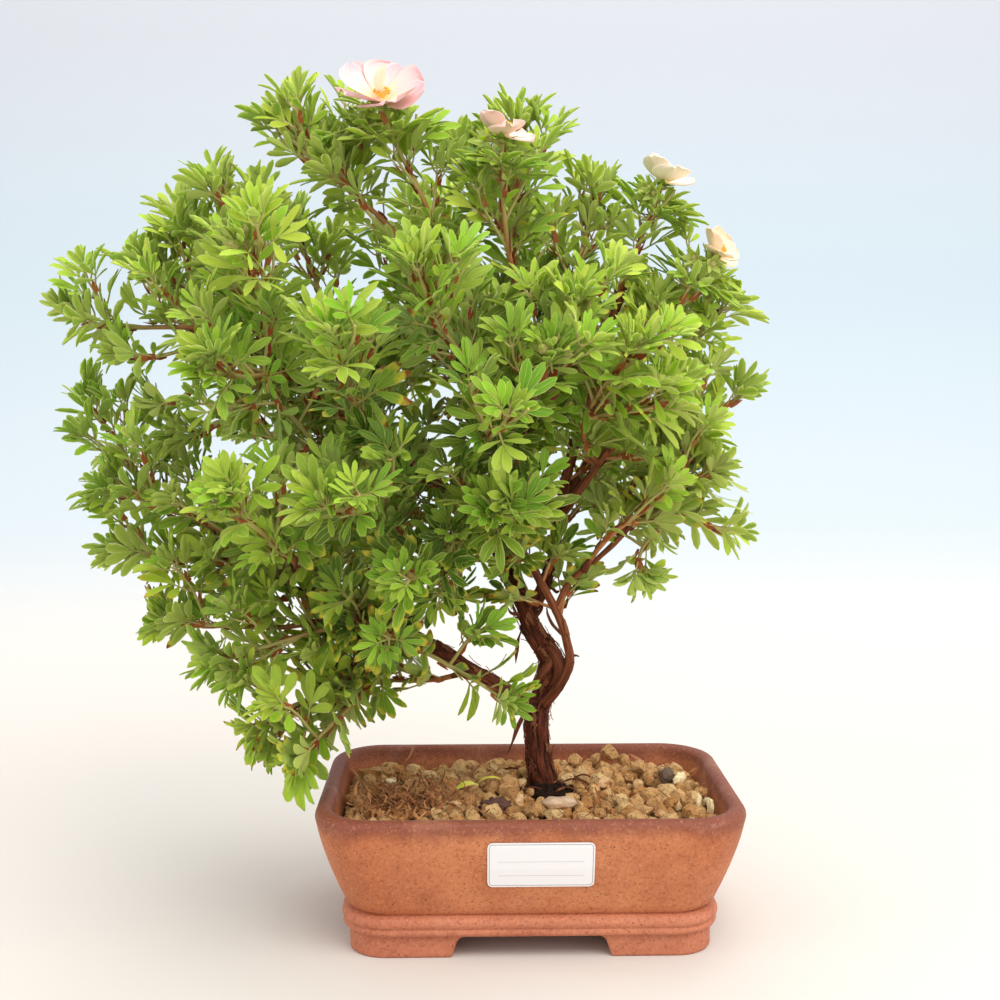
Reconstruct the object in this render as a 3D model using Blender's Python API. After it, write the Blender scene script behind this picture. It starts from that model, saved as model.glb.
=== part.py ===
"""A shrubby cinquefoil grown as a bonsai in an oblong stoneware pot, with its soil, leafy shoots and blooms."""
import math
import random

import bmesh
import bpy
from mathutils import Matrix, Vector, geometry
from mathutils.bvhtree import BVHTree

# Every size and place below is in millimetres, from the middle of the pot's foot, with -Y to the front.
MM = 0.001
GAP = 0.3
SEED = 7

# Pot: half sizes at the rim, then heights above the ground.
POT_HALF_X = 85
POT_HALF_Y = 60
POT_HEIGHT = 58
RIM_CORNER = 21
FOOT_CORNER = 15
CORNER_STEPS = 4
WALL = 6.5
WALL_TAPER = 12
TAPER_POWER = 1.4
SHOULDER_Z = 56
MOULDING_TOP_Z = 17.2
FOOT_HEIGHT = 8.7
FLOOR_Z = 14.5
FLOOR_INSET = 20.5
FOOT_HALF_X = 72
FOOT_HALF_Y = 47
FOOT_WIDTH = 12
FRONT_RECESS = (27.5, 31)
SIDE_RECESS = (16.5, 20)
DRAIN_X = 38
DRAIN_RADIUS = 8
SCREEN_HALF = 11
SCREEN_THICKNESS = 0.8
SCREEN_CELLS = 5
WALL_LEVELS = (22, 30, 39, 48)
INNER_RIM_Z = 53

# Soil: its edge is one of the levels of the pot's inside wall.
SOIL_EDGE_Z = 46.5
SOIL_MOUND = 6.5
INNER_LEVELS = (SOIL_EDGE_Z, 36, 25)
EDGE_STEPS = (9, 5)
GRANULE_PITCH = 7.6
GRANULE_SPACING = 3.4
GRANULE_RELIEF = 1.3

# Wood: the stump stands in a plain hole in the soil.
STUMP = (7, 8)
STUMP_RADIUS = 6.2
STUMP_FOOT_Z = 25
STUMP_TOP_Z = 55
SPUR_RADIUS = 1.5
SPUR_LENGTH = 5
SHOOT_LENGTH = 72
FIRST_SEAT = 0.3
SEAT_STEPS = 20

# Leaves: a petiole and leaflets spread like fingers.
STEM_RADIUS = 1.15
STEM_TIP_RADIUS = 0.75
PETIOLE = 7
LEAFLET_LENGTH = 16.5
LEAFLET_HALF_WIDTH = 1.95
LEAF_THICKNESS = 0.9
LEAFLETS = 5
GOLDEN_ANGLE = 137.5
LEAF_SHARES = (0, 0.36, 0.6, 0.79, 0.92, 1)
INNER_SHARES = (0, 0.45, 0.8, 1)
LEAF_MARGIN = 0.4
CROWN_HEART = (-40, 0, 190)

# Blooms.
CALYX_RADIUS = 4.5
RECEPTACLE_RADIUS = 2.8
RECEPTACLE_HEIGHT = 2.8
PETAL_THICKNESS = 0.7
BUD_SIDES = 5

# Label on the pot's front wall, centred on x, z.
LABEL_CENTRE = (3, 40.5)
LABEL_SIZE = (41, 19)
LABEL_CORNER = 2
LABEL_THICKNESS = 0.5

# The trunk and its limbs: points with a radius each, from the photo.
LIMBS = {
    "trunk": ((7, 8, STUMP_TOP_Z, 5.8), (5, 5, 66, 5.3), (4, 3, 76, 4.9), (4, 2, 84, 4.8), (7, 2, 96, 4.7),
              (10, 0, 108, 5.0), (5, 0, 117, 4.5), (1, 0, 124, 4.1), (-3, 0, 134, 3.8), (-7, 1, 146, 3.5)),
    "left_arm": ((-4, 0.5, 138, 3.0), (-13, 3, 155, 2.8), (-25, 4, 167, 2.6), (-50, 5, 190, 2.3),
                 (-82, 4, 215, 1.9), (-114, 2, 240, 1.5)),
    "left_leader": ((-5, 0.5, 141, 2.8), (-8, 5, 166, 2.6), (-14, 6, 200, 2.2), (-28, 5, 238, 1.9),
                    (-46, 2, 274, 1.5)),
    "middle_leader": ((-10, 5, 178, 2.1), (-5, 9, 205, 1.9), (-2, 10, 232, 1.7), (-1, 9, 259, 1.4)),
    "right_leader": ((0, 0, 127, 2.9), (6, 1, 138, 2.7), (11, 2, 152, 2.6), (13, 3, 166, 2.4), (20, 5, 200, 2.1),
                     (30, 4, 235, 1.8), (39, 2, 262, 1.5)),
    "right_twig": ((11, -9, 130, 1.5), (17, -7, 142, 1.3), (29, -6, 152, 1.2), (40, -6, 163, 1.2),
                   (53, -5, 179, 1.2), (68, -3, 200, 1.1)),
    "low_branch": ((4.5, 1, 87.5, 3.4), (-8, -2, 95, 3.5), (-22, -3, 104, 3.3), (-36, -3, 113, 3.1),
                   (-52, 0, 121, 2.8), (-82, 4, 132, 2.4), (-112, 6, 143, 1.9), (-137, 5, 158, 1.5)),
    "hanging_branch": ((-50, 0, 120, 2.1), (-59, -5, 120, 1.8), (-68, -10, 117, 1.5)),
    "front_left_branch": ((-80, 3, 131, 1.9), (-92, -8, 145, 1.7), (-102, -17, 158, 1.5)),
    "crossing_stem": ((7, -2, 90, 2.2), (12, -5, 97, 2.2), (17, -8, 108, 1.9), (16, -9, 117, 1.8),
                      (13, -9, 127, 1.8), (8, -9, 137, 1.8), (0, -10, 151, 1.7), (-11, -13, 162, 1.7),
                      (-32, -24, 182, 1.6), (-56, -35, 199, 1.4)),
    "front_leader": ((-9, 3, 170, 1.9), (-6, -20, 192, 1.7), (-3, -42, 213, 1.5), (-3, -46, 220, 1.4)),
    "front_low_branch": ((-9, -11.5, 160.5, 1.6), (-18, -24, 164, 1.5), (-28, -37, 169, 1.4)),
    "front_right_branch": ((14, 3, 168, 1.8), (24, -11, 185, 1.6), (31, -22, 197, 1.4)),
    "back_left_branch": ((-26, 4, 168, 2.0), (-46, 25, 190, 1.8), (-76, 44, 216, 1.6), (-92, 48, 231, 1.4)),
    "back_leader": ((-10, 5, 182, 2.0), (-14, 28, 205, 1.8), (-22, 46, 234, 1.6), (-23, 52, 250, 1.4)),
    "back_right_branch": ((14, 3, 172, 2.0), (28, 22, 192, 1.7), (36, 31, 205, 1.5)),
    "back_low_branch": ((-12, 3, 154, 2.0), (-36, 26, 163, 1.7), (-62, 39, 168, 1.5), (-80, 44, 171, 1.4)),
}

# Shoots: the limb they grow from, the place of their tip, what the tip bears, the tip of a side stem where
# the shoot forks, and how far its spur is turned round the limb, in degrees, or that it ends the limb.
# The order goes round the crown's outline, then the front, the hanging shoots and the back.
SHOOTS = (
    ("left_arm", (-184, -5, 250), "leaves", None, 0),
    ("low_branch", (-184, 15, 214), "leaves", None, 0),
    ("front_left_branch", (-164, -15, 183), "leaves", None, 0),
    ("low_branch", (-167, 5, 154), "leaves", None, 0),
    ("low_branch", (-146, -10, 126), "leaves", None, 0),
    ("left_arm", (-153, 10, 272), "leaves", (-114, 9, 214), 0),
    ("left_arm", (-124, -5, 300), "leaves", (-141, 20, 288), 0),
    ("left_leader", (-100, 5, 329), "leaves", (-83, 25, 321), 0),
    ("left_leader", (-58, -10, 332), "bloom_1", None, 0),
    ("middle_leader", (-3, 4, 327), "leaves", (-24, 22, 318), 0),
    ("middle_leader", (-11, -25, 316), "bloom_2", None, 0),
    ("right_leader", (28, 0, 300), "leaves", None, 0),
    ("right_leader", (54, 0, 302), "bloom_3", None, "end"),
    ("right_leader", (72, -10, 273), "bloom_4", None, 0),
    ("right_leader", (82, 12, 254), "leaves", None, 0),
    ("right_twig", (86, 0, 217), "leaves", None, 0),
    ("right_twig", (72, -14, 187), "leaves", (66, 12, 169), 0),
    ("right_twig", (46, -8, 147), "leaves", None, 0),
    ("left_arm", (-104, -60, 272), "buds", None, 0),
    ("front_leader", (5, -75, 233), "buds", (14, -62, 252), -80),
    ("front_leader", (-42, -78, 263), "leaves", (-26, -18, 228), 0),
    ("crossing_stem", (-70, -90, 239), "leaves", None, 0),
    ("left_arm", (-117, -65, 230), "leaves", (-90, -10, 197), 0),
    ("front_low_branch", (-75, -82, 180), "leaves", (-64, -12, 180), 0),
    ("front_leader", (-11, -92, 212), "leaves", None, -40),
    ("front_right_branch", (34, -72, 236), "leaves", (48, -52, 216), 0),
    ("front_low_branch", (-15, -66, 176), "leaves", None, 0),
    ("front_left_branch", (-113, -72, 179), "leaves", None, 0),
    ("front_low_branch", (-47, -60, 152), "seeds", None, 0),
    ("hanging_branch", (-91, -28, 76), "leaves", None, 0),
    ("hanging_branch", (-110, -12, 84), "leaves", None, 0),
    ("low_branch", (-74, 10, 96), "leaves", None, 0),
    ("low_branch", (-123, -25, 114), "leaves", None, 40),
    ("low_branch", (-12, -34, 100), "leaves", None, 0),
    ("back_left_branch", (-147, 60, 258), "leaves", None, 0),
    ("back_left_branch", (-103, 70, 294), "leaves", None, 0),
    ("back_leader", (-48, 80, 304), "leaves", (-49, 27, 259), 0),
    ("back_leader", (8, 74, 292), "leaves", None, 0),
    ("back_leader", (-59, 97, 240), "leaves", (-58, 34, 226), 0),
    ("back_right_branch", (54, 64, 258), "leaves", None, 0),
    ("back_right_branch", (14, 92, 226), "leaves", (-1, 26, 204), 0),
    ("back_right_branch", (48, 56, 184), "leaves", None, 0),
    ("back_low_branch", (-128, 78, 204), "leaves", (-74, 26, 202), 0),
    ("back_low_branch", (-106, 62, 140), "leaves", (-70, 72, 150), 0),
)

# Blooms: the way each faces, its petals' length and width, and how far they stand up from flat, in degrees.
BLOOMS = {
    "bloom_1": ((0.05, -0.60, 0.80), 18.5, 19, 17),
    "bloom_2": ((0.12, -0.12, 0.98), 12, 11, 16),
    "bloom_3": ((0.30, -0.15, 0.94), 12.5, 12, 30),
    "bloom_4": ((0.62, -0.35, 0.70), 10.5, 10, 38),
}

COLOURS = {
    "pot": ((196, 112, 80), 0.62),
    "label": ((240, 240, 236), 0.5),
    "soil": ((168, 128, 78), 0.95),
    "screen": ((40, 42, 40), 0.6),
    "wood": ((98, 58, 40), 0.9),
    "leaf": ((104, 150, 58), 0.55),
    "bright_leaf": ((140, 186, 66), 0.55),
    "petal": ((248, 226, 210), 0.6),
    "stamens": ((226, 178, 70), 0.7),
    "pebble": ((206, 184, 158), 0.45),
    "bark": ((70, 44, 34), 0.85),
}


# Materials and plain meshes

def linear(value):
    """The linear value of one 8-bit colour channel."""
    value /= 255
    return value / 12.92 if value <= 0.04045 else ((value + 0.055) / 1.055) ** 2.4


def material(name):
    if name in bpy.data.materials:
        return bpy.data.materials[name]
    colour, roughness = COLOURS[name]
    made = bpy.data.materials.new(name)
    made.use_nodes = True
    surface = made.node_tree.nodes["Principled BSDF"]
    surface.inputs["Base Color"].default_value = (*(linear(channel) for channel in colour), 1)
    surface.inputs["Roughness"].default_value = roughness
    return made


class Shell:
    """Points and faces of one closed surface, in millimetres."""

    def __init__(self):
        self.points = []
        self.faces = []

    def add(self, *points):
        first = len(self.points)
        self.points.extend(Vector(point) for point in points)
        return list(range(first, len(self.points)))

    def tree(self):
        return BVHTree.FromPolygons(self.points, self.faces)

    def make(self, name, material_name):
        mesh = bpy.data.meshes.new(name)
        mesh.from_pydata([point * MM for point in self.points], [], self.faces)
        mesh.update()
        made = bpy.data.objects.new(name, mesh)
        bpy.context.scene.collection.objects.link(made)
        mesh.materials.append(material(material_name))
        return made


def bridge(shell, lower, upper):
    """Join two rings of equal count, both anticlockwise seen from the upper one."""
    count = len(lower)
    for i in range(count):
        j = (i + 1) % count
        shell.faces.append((lower[i], lower[j], upper[j], upper[i]))


def apply_modifiers(target):
    graph = bpy.context.evaluated_depsgraph_get()
    mesh = bpy.data.meshes.new_from_object(target.evaluated_get(graph))
    target.modifiers.clear()
    target.data = mesh


def combine(target, others, operation, solver):
    """Apply one Boolean of a collection to the target, and remove the collection's objects."""
    group = bpy.data.collections.new("operands")
    bpy.context.scene.collection.children.link(group)
    for other in others:
        bpy.context.scene.collection.objects.unlink(other)
        group.objects.link(other)
    boolean = target.modifiers.new(operation.lower(), "BOOLEAN")
    boolean.operation = operation
    boolean.solver = solver
    boolean.operand_type = "COLLECTION"
    boolean.collection = group
    apply_modifiers(target)
    for other in others:
        bpy.data.objects.remove(other)
    bpy.data.collections.remove(group)


def prism(outline, low, high, place):
    """A closed prism over an anticlockwise outline; place(a, b, h) turns its numbers into a point."""
    shell = Shell()
    bottom = shell.add(*(place(a, b, low) for a, b in outline))
    top = shell.add(*(place(a, b, high) for a, b in outline))
    bridge(shell, bottom, top)
    shell.faces.append(tuple(reversed(bottom)))
    shell.faces.append(tuple(top))
    return shell


def upright(a, b, height):
    return (a, b, height)


def circle(centre, radius, count):
    turns = (2 * math.pi * step / count for step in range(count))
    return [(centre[0] + radius * math.cos(turn), centre[1] + radius * math.sin(turn)) for turn in turns]


def object_tree(target):
    points = [vertex.co / MM for vertex in target.data.vertices]
    return BVHTree.FromPolygons(points, [tuple(face.vertices) for face in target.data.polygons])


# Pot

def rounded_outline(half_x, half_y, radius, long_steps=1, short_steps=1):
    """A rounded rectangle, anticlockwise from above, with its straight sides cut into steps."""
    corners = []
    for quarter, (side_x, side_y) in enumerate(((1, 1), (-1, 1), (-1, -1), (1, -1))):
        for step in range(CORNER_STEPS + 1):
            turn = math.radians(90 * (quarter + step / CORNER_STEPS))
            corners.append((side_x * (half_x - radius) + radius * math.cos(turn),
                            side_y * (half_y - radius) + radius * math.sin(turn)))
    outline = []
    for index, point in enumerate(corners):
        outline.append(point)
        if index % (CORNER_STEPS + 1) == CORNER_STEPS:
            following = corners[(index + 1) % len(corners)]
            steps = long_steps if (index // (CORNER_STEPS + 1)) % 2 == 0 else short_steps
            for step in range(1, steps):
                part = step / steps
                outline.append((point[0] + (following[0] - point[0]) * part,
                                point[1] + (following[1] - point[1]) * part))
    return outline


def wall_inset(height):
    """How far the outer wall lies inside the rim's edge."""
    return WALL_TAPER * ((SHOULDER_Z - height) / (SHOULDER_Z - MOULDING_TOP_Z)) ** TAPER_POWER


def corner_radius(inset):
    """The corners tighten as the pot narrows."""
    return RIM_CORNER - (RIM_CORNER - FOOT_CORNER) * min(inset / WALL_TAPER, 1)


def inner_levels():
    """Inset and height of the inside wall, from the rim down to the floor."""
    levels = [(WALL + wall_inset(height), height) for height in INNER_LEVELS]
    return [(WALL, INNER_RIM_Z)] + levels + [(FLOOR_INSET, FLOOR_Z)]


def pot_levels():
    """Inset and height of each ring, from the underside up the outside, over the rim and down the inside."""
    middle = (FOOT_HEIGHT + MOULDING_TOP_Z) / 2
    moulding = [(13.6, FOOT_HEIGHT), (10.8, FOOT_HEIGHT + 1.6), (9.9, middle), (10.8, MOULDING_TOP_Z - 1.6),
                (WALL_TAPER + 0.6, MOULDING_TOP_Z)]
    wall = [(wall_inset(height), height) for height in WALL_LEVELS]
    rim = [(0, 54.5), (0.7, 57), (2.8, POT_HEIGHT), (5.0, 57.2)]
    return moulding + wall + rim + inner_levels()


def pot_body():
    shell = Shell()
    rings = []
    for inset, height in pot_levels():
        outline = rounded_outline(POT_HALF_X - inset, POT_HALF_Y - inset, corner_radius(inset))
        rings.append(shell.add(*((x, y, height) for x, y in outline)))
    for lower, upper in zip(rings, rings[1:]):
        bridge(shell, lower, upper)
    shell.faces.append(tuple(reversed(rings[0])))
    shell.faces.append(tuple(rings[-1]))
    return shell.make("pot", "pot")


def recess(top_half, foot_half):
    """Outline of the space between two feet, with its slightly arched top, seen from the front."""
    arch = FOOT_HEIGHT - 0.2
    return [(-foot_half, -2), (foot_half, -2), (top_half + 1, arch - 2.6), (top_half - 2, arch - 0.9),
            (0, arch), (2 - top_half, arch - 0.9), (-top_half - 1, arch - 2.6)]


def pot_feet():
    """A ring under the pot, cut into four bracket feet at the corners."""
    buried = FOOT_HEIGHT + 2
    outer = rounded_outline(FOOT_HALF_X, FOOT_HALF_Y, FOOT_CORNER)
    inner = rounded_outline(FOOT_HALF_X - FOOT_WIDTH, FOOT_HALF_Y - FOOT_WIDTH, FOOT_CORNER - 9)
    ring = prism(outer, 0, buried, upright).make("feet", "pot")
    middle = prism(inner, -2, buried + 2, upright).make("middle", "pot")
    front = prism(recess(*FRONT_RECESS), -90, 90, lambda a, b, height: (-a, height, b)).make("front", "pot")
    side = prism(recess(*SIDE_RECESS), -90, 90, lambda a, b, height: (height, a, b)).make("side", "pot")
    combine(ring, [middle, front, side], "DIFFERENCE", "EXACT")
    return ring


def make_pot():
    pot = pot_body()
    combine(pot, [pot_feet()], "UNION", "EXACT")
    drains = [prism(circle((side * DRAIN_X, 0), DRAIN_RADIUS, 12), 0, FLOOR_Z + 5, upright).make("drain", "pot")
              for side in (-1, 1)]
    combine(pot, drains, "DIFFERENCE", "EXACT")
    pot.data.shade_smooth()
    pot.data.set_sharp_from_angle(angle=math.radians(38))
    return pot


def make_label():
    """A card that follows the curve of the pot's front wall."""
    width, height = LABEL_SIZE
    centre_x, centre_z = LABEL_CENTRE
    outline = []
    for quarter, (side_x, side_z) in enumerate(((1, 1), (-1, 1), (-1, -1), (1, -1))):
        for step in range(4):
            turn = math.radians(90 * quarter + 30 * step)
            outline.append((centre_x + side_x * (width / 2 - LABEL_CORNER) + LABEL_CORNER * math.cos(turn),
                            centre_z + side_z * (height / 2 - LABEL_CORNER) + LABEL_CORNER * math.sin(turn)))
    card = prism(outline, 0, LABEL_THICKNESS, lambda x, z, depth: (x, -depth, z)).make("label", "label")
    cutting = bmesh.new()
    cutting.from_mesh(card.data)
    for level in WALL_LEVELS:
        geometry_in = cutting.verts[:] + cutting.edges[:] + cutting.faces[:]
        bmesh.ops.bisect_plane(cutting, geom=geometry_in, plane_co=(0, 0, level * MM), plane_no=(0, 0, 1))
    for vertex in cutting.verts:
        vertex.co.y -= (POT_HALF_Y - facet_inset(vertex.co.z / MM) + GAP + 0.1) * MM
    cutting.to_mesh(card.data)
    cutting.free()
    return card


def facet_inset(height):
    """The wall's inset between its levels, where the facets are flat."""
    levels = [MOULDING_TOP_Z, *WALL_LEVELS, 54.5]
    for low, high in zip(levels, levels[1:]):
        if height <= high:
            part = (height - low) / (high - low)
            top = 0 if high == levels[-1] else wall_inset(high)
            return wall_inset(low) * (1 - part) + top * part
    return 0


# Soil and what lies in and on it

def make_screen(name, side):
    """A net of square holes lying over a drainage hole."""
    step = 2 * SCREEN_HALF / SCREEN_CELLS
    net = bmesh.new()
    bmesh.ops.create_grid(net, x_segments=SCREEN_CELLS, y_segments=SCREEN_CELLS, size=SCREEN_HALF)
    holes = []
    for face in net.faces:
        middle = face.calc_center_median()
        column = int((middle.x + SCREEN_HALF) // step)
        row = int((middle.y + SCREEN_HALF) // step)
        if column % 2 == 1 and row % 2 == 1:
            holes.append(face)
    bmesh.ops.delete(net, geom=holes, context="FACES")
    raised = bmesh.ops.extrude_face_region(net, geom=net.faces[:])
    for item in raised["geom"]:
        if isinstance(item, bmesh.types.BMVert):
            item.co.z += SCREEN_THICKNESS
    bmesh.ops.recalc_face_normals(net, faces=net.faces)
    bmesh.ops.dissolve_limit(net, angle_limit=0.01, verts=net.verts, edges=net.edges)
    for vertex in net.verts:
        vertex.co = (vertex.co + Vector((side * DRAIN_X, 0, FLOOR_Z + GAP))) * MM
    mesh = bpy.data.meshes.new(name)
    net.to_mesh(mesh)
    net.free()
    mesh.materials.append(material("screen"))
    screen = bpy.data.objects.new(name, mesh)
    bpy.context.scene.collection.objects.link(screen)
    return screen


def ground(x, y):
    """The soil's height, mounded towards the trunk."""
    spread = ((x - STUMP[0]) / 50) ** 2 + ((y - STUMP[1]) / 34) ** 2
    return SOIL_EDGE_Z + SOIL_MOUND * math.exp(-spread)


def granule_points(outline):
    """Jittered points of a triangular grid inside the outline, with the heights of the granules."""
    draw = random.Random(SEED)
    boundary = [Vector(point) for point in outline]
    rows = int(POT_HALF_Y / (GRANULE_PITCH * 0.866))
    columns = int(POT_HALF_X / GRANULE_PITCH)
    points = []
    for row in range(-rows, rows + 1):
        for column in range(-columns, columns + 1):
            x = (column + 0.5 * (row % 2)) * GRANULE_PITCH + draw.uniform(-1.3, 1.3)
            y = row * GRANULE_PITCH * 0.866 + draw.uniform(-1.3, 1.3)
            rise = draw.uniform(-GRANULE_RELIEF, GRANULE_RELIEF)
            edge = min((Vector((x, y)) - corner).length for corner in boundary)
            inside = abs(x) < POT_HALF_X - WALL - 4 and abs(y) < POT_HALF_Y - WALL - 4
            if inside and edge > GRANULE_SPACING and point_inside(x, y, boundary):
                points.append((x, y, ground(x, y) + rise))
    return points


def point_inside(x, y, boundary):
    crossings = 0
    for start, end in zip(boundary, boundary[1:] + boundary[:1]):
        if (start.y > y) != (end.y > y):
            crossings += x < start.x + (y - start.y) * (end.x - start.x) / (end.y - start.y)
    return crossings % 2 == 1


def make_soil():
    """The fill: it follows the pot's inside wall, with granules on top and room for the stump and the screens."""
    shell = Shell()
    rings = []
    for inset, height in reversed(inner_levels()[1:]):
        outline = rounded_outline(POT_HALF_X - inset - GAP, POT_HALF_Y - inset - GAP,
                                  corner_radius(inset) - GAP, *EDGE_STEPS)
        lift = GAP if height == FLOOR_Z else 0
        rings.append(shell.add(*((x, y, height + lift) for x, y in outline)))
    for lower, upper in zip(rings, rings[1:]):
        bridge(shell, lower, upper)
    shell.faces.append(tuple(reversed(rings[0])))
    edge = [shell.points[index].copy() for index in rings[-1]]
    granules = granule_points([(point.x, point.y) for point in edge])
    flat = [Vector((point.x, point.y)) for point in edge] + [Vector((x, y)) for x, y, _ in granules]
    ring_edges = [(index, (index + 1) % len(edge)) for index in range(len(edge))]
    result = geometry.delaunay_2d_cdt(flat, ring_edges, [], 1, 0.001)
    heights = [point.z for point in edge] + [height for _, _, height in granules]
    numbers = []
    for index, point in enumerate(result[0]):
        source = result[3][index][0]
        numbers.append(rings[-1][source] if source < len(edge)
                       else shell.add((point.x, point.y, heights[source]))[0])
    for face in result[2]:
        corners = [numbers[index] for index in face]
        first, second, third = (shell.points[index] for index in corners[:3])
        upward = (second - first).cross(third - first).z > 0
        shell.faces.append(tuple(corners if upward else reversed(corners)))
    soil = shell.make("soil", "soil")
    half = SCREEN_HALF + GAP
    square = ((half, half), (-half, half), (-half, -half), (half, -half))
    cutters = [prism([(x + side * DRAIN_X, y) for x, y in square], FLOOR_Z - 3,
                     FLOOR_Z + SCREEN_THICKNESS + 2 * GAP, upright).make("pocket", "soil") for side in (-1, 1)]
    hole = circle(STUMP, STUMP_RADIUS + GAP + 0.1, 8)
    cutters.append(prism(hole, STUMP_FOOT_Z - GAP, 80, upright).make("hole", "soil"))
    combine(soil, cutters, "DIFFERENCE", "EXACT")
    return soil


def lower_onto(target, soil_tree):
    """Lower a loose piece until it lies a hair above the soil."""
    clearances = []
    for vertex in target.data.vertices:
        start = vertex.co / MM
        hit = soil_tree.ray_cast(start, Vector((0, 0, -1)))
        if hit[0] is not None:
            clearances.append(hit[3])
    drop = min(clearances) - GAP
    for vertex in target.data.vertices:
        vertex.co.z -= drop * MM


def stone(name, material_name, centre, size, turn, seed):
    """A rounded lump with slightly uneven faces."""
    draw = random.Random(seed)
    ball = bmesh.new()
    bmesh.ops.create_icosphere(ball, subdivisions=2, radius=0.5)
    spin = Matrix.Rotation(math.radians(turn), 3, "Z")
    for vertex in ball.verts:
        swell = 1 + draw.uniform(-0.07, 0.07)
        shaped = Vector((vertex.co.x * size[0], vertex.co.y * size[1], vertex.co.z * size[2])) * swell
        vertex.co = (spin @ shaped + Vector(centre)) * MM
    mesh = bpy.data.meshes.new(name)
    ball.to_mesh(mesh)
    ball.free()
    mesh.materials.append(material(material_name))
    made = bpy.data.objects.new(name, mesh)
    bpy.context.scene.collection.objects.link(made)
    return made


# Wood

def frames(points, first=None):
    """A tangent and a side vector at each point of a path, without twist."""
    found = []
    side = None
    for index in range(len(points)):
        before = points[max(index - 1, 0)]
        after = points[min(index + 1, len(points) - 1)]
        along = (after - before).normalized()
        if index == 0 and first is not None:
            along = first
        if side is None:
            side = along.orthogonal().normalized()
        side = (side - along * side.dot(along)).normalized()
        found.append((along, side))
    return found


def ring_points(centre, along, side, radius, count, turn=0.0):
    across = along.cross(side)
    angles = (turn + 2 * math.pi * step / count for step in range(count))
    return [centre + (side * math.cos(angle) + across * math.sin(angle)) * radius for angle in angles]


def tube(path, sides, gnarl=0.0):
    """A closed tube through points that each carry a radius."""
    shell = Shell()
    points = [Vector(item[:3]) for item in path]
    rings = []
    for index, (along, side) in enumerate(frames(points)):
        ring = ring_points(points[index], along, side, path[index][3], sides)
        if gnarl and 0 < index < len(points) - 1:
            ring = [points[index] + (corner - points[index]) * (1 + gnarl * math.sin(5.1 * index + 2.3 * number))
                    for number, corner in enumerate(ring)]
        rings.append(shell.add(*ring))
    for lower, upper in zip(rings, rings[1:]):
        bridge(shell, lower, upper)
    shell.faces.append(tuple(reversed(rings[0])))
    shell.faces.append(tuple(rings[-1]))
    return shell


def limb_point(limb, part):
    """The place, direction and radius at a part of the way along a limb."""
    path = LIMBS[limb]
    position = part * (len(path) - 1)
    index = min(int(position), len(path) - 2)
    share = position - index
    start = Vector(path[index][:3])
    end = Vector(path[index + 1][:3])
    radius = path[index][3] * (1 - share) + path[index + 1][3] * share
    return start.lerp(end, share), (end - start).normalized(), radius


def seat(limb, tip, turn):
    """The spur that carries a shoot: its root on the limb, its end and its direction."""
    if turn == "end":
        place, along, _ = limb_point(limb, 1)
        direction = (along + (tip - place).normalized()).normalized()
        return place, place + direction * SPUR_LENGTH, direction
    best = None
    for step in range(SEAT_STEPS + 1):
        part = FIRST_SEAT + (1 - FIRST_SEAT) * step / SEAT_STEPS
        place, along, radius = limb_point(limb, part)
        reach = (tip - place).length
        cost = abs(reach - SHOOT_LENGTH) - 12 * along.dot((tip - place).normalized())
        if best is None or cost < best[0]:
            best = (cost, part, place, along, radius)
    _, part, place, along, radius = best
    if part == 1:
        return seat(limb, tip, "end")
    heading = (tip - place).normalized()
    outward = (heading - along * heading.dot(along) + Vector((0, 0, 0.15))).normalized()
    turned = Matrix.Rotation(math.radians(turn), 3, along) @ outward
    direction = (along * 0.5 + turned).normalized()
    return place, place + direction * (radius * 1.15 + SPUR_LENGTH), direction


def limb_shell(name):
    path = LIMBS[name]
    sides = 8 if name == "trunk" else 6 if path[0][3] > 3 else 4
    return tube(path, sides, 0.08)


def spur_shell(root, end):
    return tube(((*root, SPUR_RADIUS), (*end, SPUR_RADIUS - 0.15)), 3)


def make_wood(spurs):
    """The stump, trunk and limbs with a short spur for every shoot, all grown together."""
    wood = prism(circle(STUMP, STUMP_RADIUS, 8), STUMP_FOOT_Z, STUMP_TOP_Z + 3, upright).make("wood", "wood")
    grown = [limb_shell(name).make(name, "wood") for name in LIMBS]
    grown.extend(spur_shell(root, end).make("spur", "wood") for root, end in spurs)
    combine(wood, grown, "UNION", "MANIFOLD")
    return wood


# Leafy shoots

def curve_point(root, lean, bow, tip, part):
    """A point of the shoot's cubic curve."""
    rest = 1 - part
    return (root * rest ** 3 + lean * 3 * rest ** 2 * part + bow * 3 * rest * part ** 2 + tip * part ** 3)


def shoot_path(root, direction, tip, shares):
    """Points along a shoot, closer together at its tip, with its end turned outward and up."""
    reach = (tip - root).length
    outward = (tip - Vector(CROWN_HEART)).normalized()
    ending = (outward + (tip - root).normalized() + Vector((0, 0, 0.5))).normalized()
    lean = root + direction * reach * 0.36
    bow = tip - ending * reach * 0.3
    return [curve_point(root, lean, bow, tip, share) for share in shares]


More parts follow.
